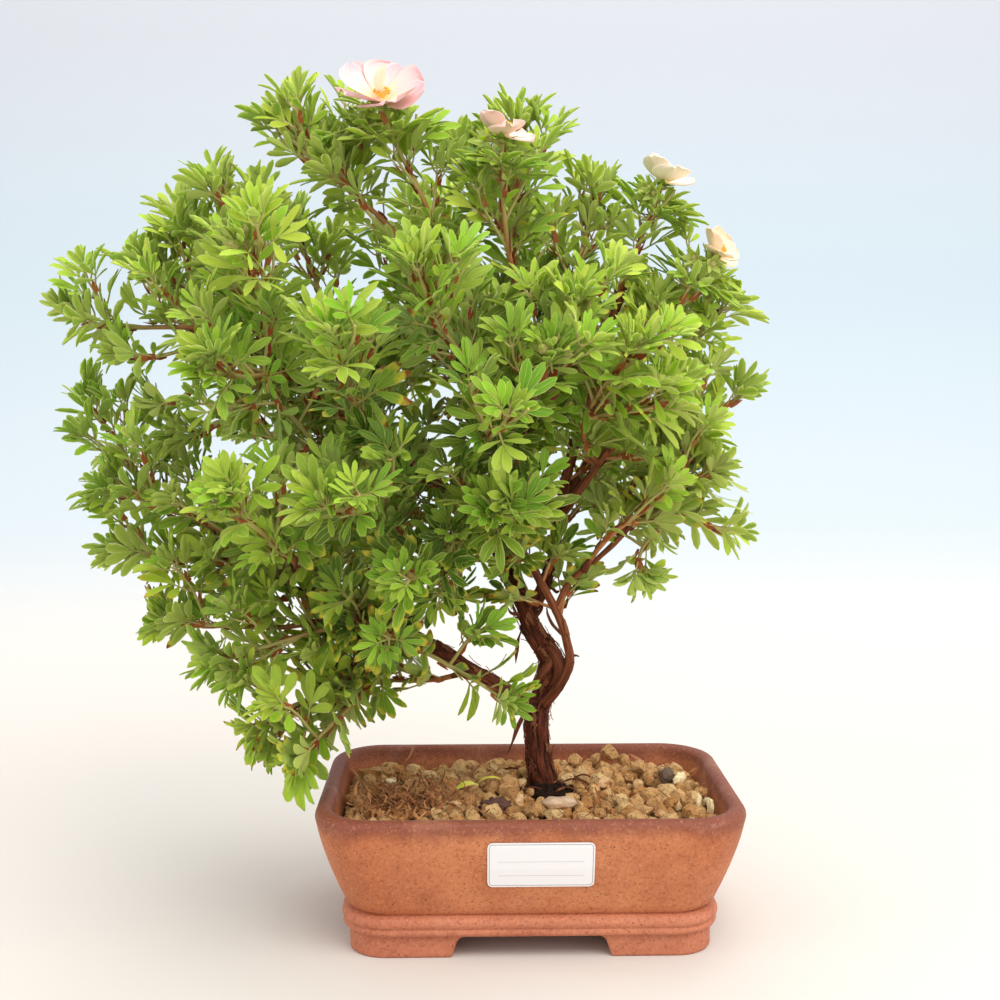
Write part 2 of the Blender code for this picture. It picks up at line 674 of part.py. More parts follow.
def leaf_outline(spec, margin):
    """A leaf's points: neck, notches, leaflet ends and rib points, in its own x, y (forward), z (up)."""
    count = spec["count"]
    size = spec["size"]
    spread = spec["spread"]
    curl = spec["curl"]
    cup = spec["cup"]
    half = (count - 1) / 2

    def arched(x, y):
        return cup * abs(x) - curl * (x * x + y * y)

    lower = [(0.6 + margin, -margin, -margin)]
    ends = []
    for number in range(count):
        turn = math.radians(spread * (number - half) / half)
        if number > 0:
            gap_turn = math.radians(spread * (number - half - 0.5) / half)
            reach = 2.5 + margin
            x, y = -math.sin(gap_turn) * reach, 0.8 + math.cos(gap_turn) * reach
            lower.append((x, y, arched(x, y) - margin))
        length = LEAFLET_LENGTH * size * (1 - 0.3 * abs(number - half) / half) + margin
        wide = LEAFLET_HALF_WIDTH * size + margin
        pair = []
        for side, stretch in ((1, 0.88), (-1, 0.97)):
            x = -math.sin(turn) * length * stretch + math.cos(turn) * wide * side
            y = 0.8 + math.cos(turn) * length * stretch + math.sin(turn) * wide * side
            pair.append((x, y, arched(x, y) - margin))
        ends.append(pair)
    lower.append((-0.6 - margin, -margin, -margin))
    return lower, ends


def leaf_frame(spec):
    """The neck's place and the blade's right, forward and up vectors."""
    forward = spec["forward"]
    right = (spec["right"] - forward * spec["right"].dot(forward)).normalized()
    up = right.cross(forward)
    rolled = right * math.cos(spec["roll"]) + up * math.sin(spec["roll"])
    return spec["neck"], rolled, forward, rolled.cross(forward)


def add_leaf(shell, base, spec, margin=0.0):
    """Grow a leaf with its petiole from a triangle of the stem, given anticlockwise from outside."""
    neck, right, forward, up = leaf_frame(spec)

    def placed(point):
        return neck + right * point[0] + forward * point[1] + up * point[2]

    lower, ends = leaf_outline(spec, margin)
    notches = shell.add(*(placed(point) for point in lower))
    top = shell.add(placed((0, 0.3, 0.8 + margin)))[0]
    low_right, low_left, high = base
    shell.faces.append((low_right, low_left, notches[-1], notches[0]))
    shell.faces.append((low_left, high, top, notches[-1]))
    shell.faces.append((high, low_right, notches[0], top))
    for number, pair in enumerate(ends):
        right_end, left_end = shell.add(*(placed(point) for point in pair))
        near, far = notches[number], notches[number + 1]
        inner = (shell.points[near] + shell.points[far]) / 2
        outer = (shell.points[right_end] + shell.points[left_end]) / 2
        rib = shell.add(inner.lerp(outer, 0.62) + up * (LEAF_THICKNESS + 2 * margin))[0]
        shell.faces.extend(((top, near, rib), (near, right_end, rib), (right_end, left_end, rib),
                            (left_end, far, rib), (far, top, rib)))
        shell.faces.extend(((near, far, left_end), (near, left_end, right_end)))
    for number in range(1, len(notches) - 1):
        shell.faces.append((notches[0], notches[number + 1], notches[number]))


def leaf_cage(base_points, spec, margin, start):
    """The same leaf as a closed body of its own, from a part of the way along its petiole."""
    shell = Shell()
    neck, right, forward, up = leaf_frame(spec)
    necks = (neck + right * 0.6, neck - right * 0.6, neck + up * 0.8)
    base = shell.add(*(point.lerp(goal, start) for point, goal in zip(base_points, necks)))
    add_leaf(shell, base, spec, margin)
    shell.faces.append(tuple(reversed(base)))
    return shell


class Stem:
    """A green stem with its leaves: one closed surface, grown ring by ring."""

    def __init__(self, name, path, direction):
        self.name = name
        self.path = path
        self.direction = direction
        self.shell = Shell()

    def skin(self, shell, extra=0.0):
        """A three-sided tube whose rings turn with the leaves; returns the faces that can open into leaves."""
        path = self.path
        walk = frames(path, self.direction)
        turn = 0.0
        rings = []
        sides = []
        for index, (along, side) in enumerate(walk):
            wanted = GOLDEN_ANGLE * index
            turn += (wanted - turn + 60) % 120 - 60
            share = index / (len(path) - 1)
            radius = STEM_RADIUS + (STEM_TIP_RADIUS - STEM_RADIUS) * share + extra
            ring = ring_points(path[index], along, side, radius, 3, math.radians(turn - 60))
            rings.append(shell.add(*ring))
            sides.append(round((wanted - turn) / 120) % 3)
        leaf_faces = []
        for index in range(len(rings) - 1):
            lower, upper = rings[index], rings[index + 1]
            for corner in range(3):
                following = (corner + 1) % 3
                quad = (lower[corner], lower[following], upper[following], upper[corner])
                if index > 0 and corner == sides[index]:
                    leaf_faces.append((index, quad))
                else:
                    shell.faces.append(quad)
        shell.faces.append(tuple(reversed(rings[0])))
        bud = shell.add(path[-1] + walk[-1][0] * 2.2)[0]
        for corner in range(3):
            shell.faces.append((rings[-1][corner], rings[-1][(corner + 1) % 3], bud))
        return leaf_faces

    def bare(self):
        """The stem alone."""
        shell = Shell()
        shell.faces.extend(quad for _, quad in self.skin(shell, 0.001))
        return shell

    def tip_direction(self):
        return frames(self.path)[-1][0]

    def leaf_spec(self, quad, index, attempt):
        """Where a leaf goes and how it is held; later attempts turn it further."""
        draw = random.Random("%s leaf %d" % (self.name, index))
        right_foot, left_foot = (self.shell.points[corner] for corner in quad[:2])
        along, _ = frames(self.path, self.direction)[index]
        middle = (right_foot + left_foot) / 2
        outward = (middle - self.path[index]).normalized()
        young = index / (len(self.path) - 1)
        lean = math.radians(76 - 44 * young + draw.uniform(-8, 8))
        size = (1.06 - 0.14 * young) * draw.uniform(0.92, 1.05) * (1 - 0.03 * attempt)
        roll = draw.uniform(-14, 14)
        curl = draw.uniform(0.002, 0.012)
        cup = draw.uniform(-0.05, 0.22)
        lean += math.radians(draw.uniform(-9, 9)) * attempt
        sideways = along.cross(outward) * draw.uniform(-0.1, 0.1) * attempt
        forward = (along * math.cos(lean) + outward * math.sin(lean) + sideways).normalized()
        return {
            "neck": middle + forward * PETIOLE * size,
            "forward": forward,
            "right": right_foot - left_foot,
            "roll": math.radians(roll * (1 + 0.4 * attempt)),
            "size": size,
            "count": LEAFLETS,
            "spread": 74 - 20 * young,
            "curl": curl,
            "cup": cup,
        }

    def try_leaf(self, index, quad, own, obstacles):
        """Grow a leaf from the foot of a face, or close the face where there is no room for one."""
        points = self.shell.points
        low_a, low_b, high_b, high_a = quad
        foot = (points[low_a] + points[low_b]) / 2
        head = (points[high_a] + points[high_b]) / 2
        peak = foot.lerp(head, min(2.2 / (head - foot).length, 0.6))
        base_points = (points[low_a], points[low_b], peak)
        for attempt in range(10):
            spec = self.leaf_spec(quad, index, attempt)
            wide = leaf_cage(base_points, spec, LEAF_MARGIN, 0.5).tree()
            close = leaf_cage(base_points, spec, 0.05, 0.3).tree()
            if any(tree.overlap(wide) for tree in obstacles):
                continue
            if any(tree.overlap(close) for tree in own):
                continue
            top = self.shell.add(peak)[0]
            self.shell.faces.extend(((low_b, high_b, top), (high_b, high_a, top), (high_a, low_a, top)))
            add_leaf(self.shell, (low_a, low_b, top), spec)
            own.append(close)
            return
        self.shell.faces.append(quad)


class Shoot:
    """A leafy shoot on its spur: a stem, a side stem where it forks, and what it bears."""

    def __init__(self, number, limb, tip, bears, fork, turn):
        self.name = "shoot_%02d" % number
        self.tip = Vector(tip)
        self.bears = bears
        root, end, direction = seat(limb, self.tip, turn)
        self.spur = (root, end)
        main = Stem(self.name, shoot_path(end + direction * GAP, direction, self.tip, LEAF_SHARES), direction)
        self.stems = [main]
        self.grown_on = []
        if fork is not None:
            self.stems.append(self.side_stem(main, Vector(fork)))

    def side_stem(self, main, tip):
        """A side stem that leaves the main one a third of the way up."""
        root = main.path[1]
        along, _ = frames(main.path)[1]
        heading = (tip - root).normalized()
        outward = (heading - along * heading.dot(along)).normalized()
        direction = (outward + along * 0.6).normalized()
        inward = (tip - Vector(CROWN_HEART)).length < (root - Vector(CROWN_HEART)).length
        shares = INNER_SHARES if inward else LEAF_SHARES
        return Stem(self.name + " side", shoot_path(root, direction, tip, shares), direction)

    def grow_leaves(self, obstacles):
        """Hang a leaf on each open face where there is room for it; returns what takes up room."""
        own = [stem.bare().tree() for stem in self.stems] + [piece.tree() for piece in self.grown_on]
        taken = len(own)
        for stem in self.stems:
            for index, quad in stem.skin(stem.shell):
                stem.try_leaf(index, quad, own, obstacles)
        return own[taken:]

    def make(self):
        """The shoot's one object, with its side stem, buds or calyx grown on."""
        bright = self.tip.y < -55 or self.tip.z < 110
        surface = "bright_leaf" if bright else "leaf"
        made = self.stems[0].shell.make(self.name, surface)
        parts = [stem.shell for stem in self.stems[1:]] + self.grown_on
        if parts:
            combine(made, [part.make("grown_on", surface) for part in parts], "UNION", "MANIFOLD")
        return made


def bud_shell(centre, direction, radius, length):
    """A plump bud on its short stalk's end."""
    shell = Shell()
    side = direction.orthogonal().normalized()
    rings = []
    for along, share in ((0.0, 0.4), (0.45, 1.0)):
        ring = ring_points(centre + direction * length * along, direction, side, radius * share, BUD_SIDES)
        rings.append(shell.add(*ring))
    bridge(shell, *rings)
    shell.faces.append(tuple(reversed(rings[0])))
    peak = shell.add(centre + direction * length)[0]
    for corner in range(BUD_SIDES):
        shell.faces.append((rings[-1][corner], rings[-1][(corner + 1) % BUD_SIDES], peak))
    return shell


def stalk_shell(start, end, radius):
    shell = Shell()
    along = (end - start).normalized()
    side = along.orthogonal().normalized()
    rings = [shell.add(*ring_points(point, along, side, radius, 3)) for point in (start, end)]
    bridge(shell, *rings)
    shell.faces.append(tuple(reversed(rings[0])))
    shell.faces.append(tuple(rings[1]))
    return shell


def bud_cluster(shoot, radius, length):
    """Three short-stalked buds at a shoot's tip."""
    direction = shoot.stems[0].tip_direction()
    side = direction.orthogonal().normalized()
    across = direction.cross(side)
    for number in range(3):
        turn = math.radians(120 * number + 40)
        outward = side * math.cos(turn) + across * math.sin(turn)
        heading = (direction + outward * 0.75).normalized()
        start = shoot.tip - direction * 1.5
        end = start + heading * 6
        shoot.grown_on.append(stalk_shell(start, end + heading, 0.6))
        shoot.grown_on.append(bud_shell(end, heading, radius, length))


def calyx_shell(centre, facing):
    """Five sepals as a ten-pointed disc, its flat top towards the bloom."""
    shell = Shell()
    side = facing.orthogonal().normalized()
    across = facing.cross(side)
    rings = []
    for height, reach in ((-1.6, 0.35), (-0.6, 1.0), (0.0, 1.0)):
        ring = []
        for step in range(10):
            angle = math.radians(36 * step)
            radius = CALYX_RADIUS * reach * (1 if step % 2 == 0 else 0.66)
            ring.append(centre + facing * height + (side * math.cos(angle) + across * math.sin(angle)) * radius)
        rings.append(shell.add(*ring))
    for lower, upper in zip(rings, rings[1:]):
        bridge(shell, lower, upper)
    shell.faces.append(tuple(reversed(rings[0])))
    shell.faces.append(tuple(rings[-1]))
    return shell


# Blooms

def petal_shell(centre, facing, outward, length, width, rise, twist):
    """One cupped petal: a rounded blade that starts inside the receptacle."""
    shell = Shell()
    across = facing.cross(outward)
    tilt = math.radians(rise)
    forward = outward * math.cos(tilt) + facing * math.sin(tilt)
    raised = facing * math.cos(tilt) - outward * math.sin(tilt)
    side = across * math.cos(twist) + raised * math.sin(twist)
    normal = forward.cross(side) * -1
    if normal.dot(facing) < 0:
        normal = -normal
    outline = ((-0.09, 0.06, 0), (-0.42, 0.45, 0.05), (-0.5, 0.72, 0.1), (-0.24, 0.98, 0.12), (0.0, 0.93, 0.07),
               (0.24, 0.98, 0.12), (0.5, 0.72, 0.1), (0.42, 0.45, 0.05), (0.09, 0.06, 0))
    half = PETAL_THICKNESS / 2
    root = centre + facing * 0.9
    places = [root + side * (across_part * width) + forward * (along_part * length)
              + normal * (lift * length) for across_part, along_part, lift in outline]
    middle = root + forward * (0.62 * length) - normal * 0.03 * length
    upper = shell.add(*(place + normal * half for place in places))
    lower = shell.add(*(place - normal * half for place in places))
    upper_middle = shell.add(middle + normal * half)[0]
    lower_middle = shell.add(middle - normal * half)[0]
    count = len(outline)
    clockwise = side.cross(forward).dot(normal) < 0
    for number in range(count):
        following = (number + 1) % count
        faces = ((upper[following], upper[number], upper_middle), (lower[number], lower[following], lower_middle),
                 (upper[number], upper[following], lower[following], lower[number]))
        shell.faces.extend(tuple(reversed(face)) if clockwise else face for face in faces)
    return shell


def disc_shell(centre, facing, radius, low, high):
    shell = Shell()
    side = facing.orthogonal().normalized()
    rings = [shell.add(*ring_points(centre + facing * height, facing, side, radius, 10)) for height in (low, high)]
    bridge(shell, *rings)
    shell.faces.append(tuple(reversed(rings[0])))
    shell.faces.append(tuple(rings[1]))
    return shell


def make_bloom(name, centre, facing, length, width, rise):
    """Five petals joined on a receptacle, and the burr of stamens over it."""
    base = centre + facing * GAP
    petals = disc_shell(base, facing, RECEPTACLE_RADIUS, 0, RECEPTACLE_HEIGHT).make(name + "_petals", "petal")
    side = facing.orthogonal().normalized()
    across = facing.cross(side)
    blades = []
    for number in range(5):
        turn = math.radians(72 * number + 18)
        outward = side * math.cos(turn) + across * math.sin(turn)
        rise_here = rise + (2.5 if number % 2 else -2.5)
        blade = petal_shell(base, facing, outward, length, width, rise_here, math.radians(13))
        blades.append(blade.make("petal", "petal"))
    combine(petals, blades, "UNION", "MANIFOLD")
    stamens = Shell()
    foot = base + facing * (RECEPTACLE_HEIGHT + GAP)
    spikes = 14
    low = []
    high = []
    for step in range(spikes):
        angle = 2 * math.pi * step / spikes
        outward = side * math.cos(angle) + across * math.sin(angle)
        spiked = step % 2 == 0
        low.append(foot + outward * 1.6)
        high.append(foot + outward * (3.3 if spiked else 1.7) + facing * (3.4 if spiked else 1.5))
    bottom = stamens.add(*low)
    top = stamens.add(*high)
    bridge(stamens, bottom, top)
    stamens.faces.append(tuple(reversed(bottom)))
    dome = stamens.add(foot + facing * 2.6)[0]
    for step in range(spikes):
        stamens.faces.append((top[step], top[(step + 1) % spikes], dome))
    return petals, stamens.make(name + "_stamens", "stamens")


def make_crown(others):
    """The wood and the stems it carries, then the blooms, and the leaves where there is room for them."""
    shoots = [Shoot(number, *given) for number, given in enumerate(SHOOTS, start=1)]
    around = [object_tree(other) for other in others]
    around.append(object_tree(make_wood([shoot.spur for shoot in shoots])))
    for shoot in shoots:
        if shoot.bears in BLOOMS:
            facing, length, width, rise = BLOOMS[shoot.bears]
            facing = Vector(facing).normalized()
            centre = shoot.tip + shoot.stems[0].tip_direction() * 2
            shoot.grown_on.append(calyx_shell(centre, facing))
            pieces = make_bloom(shoot.bears, centre, facing, length, width, rise)
            around.extend(object_tree(piece) for piece in pieces)
        elif shoot.bears == "buds":
            bud_cluster(shoot, 2.2, 5)
        elif shoot.bears == "seeds":
            bud_cluster(shoot, 3.0, 6)
    taken = {shoot: [stem.bare().tree() for stem in shoot.stems]
             + [piece.tree() for piece in shoot.grown_on] for shoot in shoots}
    for shoot in shoots:
        near = [tree for other, trees in taken.items() if other is not shoot for tree in trees]
        taken[shoot].extend(shoot.grow_leaves(around + near))
        shoot.make()


def centre_on_origin():
    """Move everything sideways so that the middle of its outline lies over the origin."""
    meshes = [item for item in bpy.context.scene.objects if item.type == "MESH"]
    corners = [vertex.co for item in meshes for vertex in item.data.vertices]
    shift_x = (min(corner.x for corner in corners) + max(corner.x for corner in corners)) / 2
    shift_y = (min(corner.y for corner in corners) + max(corner.y for corner in corners)) / 2
    for item in meshes:
        item.data.transform(Matrix.Translation((-shift_x, -shift_y, 0)))


def main():
    for item in list(bpy.data.objects):
        bpy.data.objects.remove(item)
    pot = make_pot()
    label = make_label()
    screens = [make_screen("screen_left", -1), make_screen("screen_right", 1)]
    soil = make_soil()
    soil_tree = object_tree(soil)
    nodule = stone("pale_nodule", "pebble", (12, -20, 60), (13, 6.5, 6), 8, 3)
    chip = stone("bark_chip", "bark", (-12, -20, 60), (9.5, 6, 4), -12, 5)
    for piece in (nodule, chip):
        lower_onto(piece, soil_tree)
    make_crown([pot, soil, label, nodule, chip, *screens])
    centre_on_origin()


main()
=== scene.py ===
"""Looks of the shrubby cinquefoil bonsai: pot, soil, wood, leafy shoots and blooms, with light and camera."""
import math
import random

import bmesh
import bpy
import numpy as np
from mathutils import Matrix, Vector, noise


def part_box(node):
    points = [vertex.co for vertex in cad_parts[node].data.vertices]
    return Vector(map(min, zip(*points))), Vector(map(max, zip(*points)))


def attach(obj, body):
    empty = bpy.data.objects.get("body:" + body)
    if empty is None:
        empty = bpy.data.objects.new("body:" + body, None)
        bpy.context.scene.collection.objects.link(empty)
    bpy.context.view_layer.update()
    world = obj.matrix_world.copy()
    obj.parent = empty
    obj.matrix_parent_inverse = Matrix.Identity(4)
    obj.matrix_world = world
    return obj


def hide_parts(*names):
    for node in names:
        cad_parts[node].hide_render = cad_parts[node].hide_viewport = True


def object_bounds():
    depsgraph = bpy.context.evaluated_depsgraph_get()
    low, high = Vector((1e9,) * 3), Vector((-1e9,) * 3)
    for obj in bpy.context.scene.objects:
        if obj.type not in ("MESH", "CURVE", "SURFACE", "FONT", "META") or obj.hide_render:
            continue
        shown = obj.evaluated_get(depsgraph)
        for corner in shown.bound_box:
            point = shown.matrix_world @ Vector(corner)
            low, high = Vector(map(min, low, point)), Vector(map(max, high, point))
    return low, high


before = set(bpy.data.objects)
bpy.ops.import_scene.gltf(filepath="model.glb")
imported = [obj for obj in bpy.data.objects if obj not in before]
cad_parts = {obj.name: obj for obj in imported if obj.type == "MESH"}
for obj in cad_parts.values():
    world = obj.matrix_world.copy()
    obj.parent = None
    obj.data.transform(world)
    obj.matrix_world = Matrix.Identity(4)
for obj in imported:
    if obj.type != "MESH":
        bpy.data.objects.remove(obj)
cad_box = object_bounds()

# Sizes and places are in millimetres from the middle of the pot's foot, with -Y to the front. PLACE takes them
# to the frame.
pot_low, pot_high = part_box("pot")
PLACE = (Matrix.Translation(((pot_low[0] + pot_high[0]) / 2, (pot_low[1] + pot_high[1]) / 2, pot_low[2]))
         @ Matrix.Scale(0.001, 4))

# Camera: where it stands, how far it looks down, and how far it is turned round the pot.
CAMERA_PLACE = (-11.4, -585, 224)
CAMERA_DROP = 0.0829
CAMERA_TURN = math.radians(-1.3)
FOCAL_LENGTH = 1420 / 1000 * 36

# Light: the room's, and each lamp's name, place, aim, size, power and colour, in metres.
ROOM_COLOUR = (0.93, 0.96, 1.0, 1)
ROOM_STRENGTH = 1.05
LAMPS = (
    ("key", (0.4, -0.85, 1.25), (0.03, 0.0, 0.1), 0.8, 9.5, (1.0, 0.98, 0.95)),
    ("fill_right", (1.1, -0.5, 0.7), (0.0, 0.0, 0.25), 0.9, 5.5, (1.0, 0.98, 0.95)),
    ("fill_left", (-1.1, -0.4, 0.7), (0.0, 0.0, 0.2), 1.0, 3, (1.0, 0.98, 0.95)),
    ("top", (0.1, 0.25, 1.4), (0.0, 0.05, 0.2), 1.0, 8.5, (1.0, 0.99, 0.97)),
)

# Stage, in metres: the floor's width and depth, and how far it's moved along Y; the backdrop's height; and the
# radius of the sweep between them.
FLOOR_SIZE = (6, 3.4)
FLOOR_SHIFT = -0.9
BACKDROP_HEIGHT = 3.2
SWEEP_RADIUS = 0.55

# Pot.
POT_HALF_X = 85
POT_HALF_Y = 60
BASE_CORNER = 16
FOOT_CORNER = 15
FRONT_RECESS = (28.5, 32)
SIDE_RECESS = (16.5, 20)
# The moulding's section, inset and height: a lower roll, a shallow groove and a fuller upper roll.
MOULDING = ((12.9, 8.9), (11.5, 9.1), (10.7, 9.6), (10.3, 10.4), (10.3, 11.2), (10.6, 11.9), (10.7, 12.2),
            (10.4, 12.6), (10.0, 13.2), (9.8, 14.1), (9.9, 15.1), (10.3, 16.0), (11.0, 16.7), (12.1, 17.2),
            (12.8, 17.5), (12.3, 18.0))
WALL = 6.5
WALL_TAPER = 12
TAPER_POWER = 1.4
SHOULDER_Z = 56
MOULDING_TOP_Z = 17.2
FOOT_HEIGHT = 8.7
FLOOR_Z = 14.5
FOOT_HALF_X = 72
FOOT_HALF_Y = 47
FOOT_WIDTH = 12
DRAIN_X = 38
DRAIN_RADIUS = 8

# Label, in metres: its corner, its border line's inset and width, its ruled lines' heights and half lengths,
# and their half width.
LABEL_CORNER = 0.002
LABEL_LINE_INSET = 0.0007
LABEL_LINE = 0.00028
LABEL_RULES = ((0.0015, 0.0165), (-0.0045, 0.0165))
LABEL_RULE_HALF = 0.0001

# Finishes of one cloud: roughness and shine; how the cloud is stretched; its scale, detail and roughness; the
# dark and the pale paint; the bump's depth and strength; specks, each with scale, size and paint.
CLOUDED = {
    "net_plastic": ((0.55, 0.4), None, (300,), (36, 38, 36), (58, 60, 56), None, ()),
    # The earth under the granules is painted dark partly as painted shade in the gaps between the granules.
    "damp_earth": ((0.95, 0.2), None, (380, 5, 0.7), (34, 20, 11), (84, 54, 30), (0.001, 0.8), ()),
    "water_worn_pebble": ((0.4, 0.5), None, (220, 4), (168, 132, 100), (216, 186, 152), (0.0003, 0.4),
                          (((900, 0.14), (120, 86, 62)),)),
    "bark_chip": ((0.85, 0.3), (1, 1, 4), (340, 5, 0.7), (44, 26, 22), (132, 92, 78), (0.0008, 0.9), ()),
    "dark_pebble": ((0.7, 0.15), None, (400, 4), (80, 65, 54), (122, 102, 84), (0.0003, 0.5), ()),
    "cream_flake": ((0.6, 0.4), None, (260, 4), (212, 186, 134), (244, 230, 186), (0.0003, 0.4), ()),
    "tan_flake": ((0.6, 0.4), None, (260, 4), (186, 140, 92), (226, 188, 142), (0.0003, 0.4), ()),
}

# Finishes toned part by part: roughness and shine; the two paints; the fibres' scale and detail, strength and
# paint; the bump's depth and strength.
TONED = {
    "dry_litter": ((0.8, 0.3), (112, 58, 28), (208, 150, 96), (700, 4), 0.6, (150, 96, 56), (0.0003, 0.6)),
    "papery_sheath": ((0.7, 0.3), (142, 66, 28), (190, 112, 58), (900, 3), 0.5, (110, 54, 24), None),
}

# Leaves: the deep and the light paint of young, grown and old ones, and of the underside.
LEAF_PAINTS = (((130, 182, 36), (180, 202, 66)), ((98, 148, 30), (156, 176, 60)),
               ((50, 80, 18), (100, 120, 36)), ((120, 150, 58), (170, 184, 92)))

# Petals: the paint at the claw, in the middle and at the rim.
PETAL_PAINTS = {
    "bloom_1": ((244, 216, 158), (240, 200, 193), (236, 168, 176)),
    "bloom_2": ((240, 208, 172), (240, 206, 192), (236, 190, 178)),
    "bloom_3": ((246, 222, 164), (246, 230, 208), (246, 224, 198)),
    "bloom_4": ((244, 192, 98), (246, 222, 194), (244, 204, 164)),
}
FOLDED_PETAL_PAINT = (244, 224, 190)

# Soil.
SOIL_EDGE_Z = 46.5
SOIL_MOUND = 6.5
STUMP = (7, 8)

# Granules that stand above the rest: place and size.
PROUD_GRANULES = ((39, 42, 57.5, 7.5), (45, 40, 55, 6), (33, 43, 54.5, 6), (-60, 30, 54, 7), (22, 30, 57, 7),
                  (50, 24, 56, 7))

# Layers of granules: how far apart they lie, the smallest and the largest, and how high the layer is.
GRANULE_LAYERS = ((5.6, 4.4, 7.0, 0.0), (7.4, 5.0, 8.4, 2.6), (7.0, 1.6, 3.2, 1.2))

# Damp crumbs at the stump, dry scraps at the left and over all the soil, and how far a scrap's ends lift.
DAMP_CRUMBS = 220
SCRAPS_AT_LEFT = 480
SCRAPS_ALL_OVER = 80
CURL_LIFT = 0.6 * 1.5

# Flakes: how thick for their width, and how rough.
FLAKE_THICKNESS = 0.38
FLAKE_ROUGHNESS = 0.18

# Stones: name, finish, the node each stands for, its shift from that node's middle (or its place), size, turn,
# seed, slot, roughness and how far its waist draws in.
STONES = (
    ("nodule_pebble", "water_worn_pebble", "pale_nodule", (0, -4.5, 0.9), (14, 6.4, 6.2), 4, 3,
     "pebble", 0.07, 0.22),
    ("chip_of_bark", "bark_chip", "bark_chip", (-1.5, -2, 1.5), (12.5, 7, 6), -12, 5, "bark", 0.26, 0.0),
    ("dark_pebble", "dark_pebble", None, (60.5, 12, 55.4), (7.2, 6.2, 7), 20, 8, "pebble", 0.12, 0.0),
)

# Thin root loops by the trunk: centre, radius, tilt, and the angles where each starts and ends.
ROOT_LOOPS = (((-6, 22, 52), 5.5, 0.9, -0.3, 3.4), ((20, 0, 53.5), 6.5, 0.7, -0.2, 2.6),
              ((24, 6, 53), 5.0, 1.1, 0.3, 3.0), ((16, -6, 54), 4.2, 0.5, 0.0, 3.3),
              ((2, -4, 53.6), 4.6, 0.4, 0.2, 3.2))

# Surface roots: where each leaves the stump, and where it ends.
SURFACE_ROOTS = (((7, 4, 52), (10, -9, 50.5)), ((12, 8, 52), (24, 4, 49.5)), ((2, 8, 52), (-9, 3, 50)),
                 ((6, 13, 52), (-2, 24, 50)))

# Cream and tan flakes on the soil: place, width and height.
CREAM_FLAKES = ((65.5, 8.5, 55, 7, 5), (69, -21, 53.5, 5, 7), (73, -26, 53, 4.5, 6.5), (74, -14, 52, 4, 3),
                (-58, 8, 54.5, 5, 3))
TAN_FLAKES = ((32, -2, 56.5, 7, 4.2), (-4, -23, 55.5, 7, 5.5), (60, 26, 54, 5, 3), (-30, -24, 54.5, 5, 2.5))

# Stems and leaves.
SHOOT_LENGTH = 72
SPUR_LENGTH = 5
FIRST_SEAT = 0.3
SEAT_STEPS = 20
GAP = 0.3
STEM_RADIUS = 1.15
STEM_TIP_RADIUS = 0.7
PETIOLE = 7
LEAFLET_LENGTH = 16.5
LEAFLET_HALF_WIDTH = 2.15
LEAF_THICKNESS = 0.3
GOLDEN_ANGLE = 137.5
LEAF_SHARES = (0, 0.36, 0.6, 0.79, 0.92, 1)
INNER_SHARES = (0, 0.45, 0.8, 1)
CROWN_HEART = Vector((-40, 0, 190))
# How far a leaf may stand past the solids' box, and the tips with brighter leaves: further forward, or lower.
LEAF_OVERHANG = 2.5
BRIGHT_FRONT_Y = -55
BRIGHT_BELOW_Z = 110

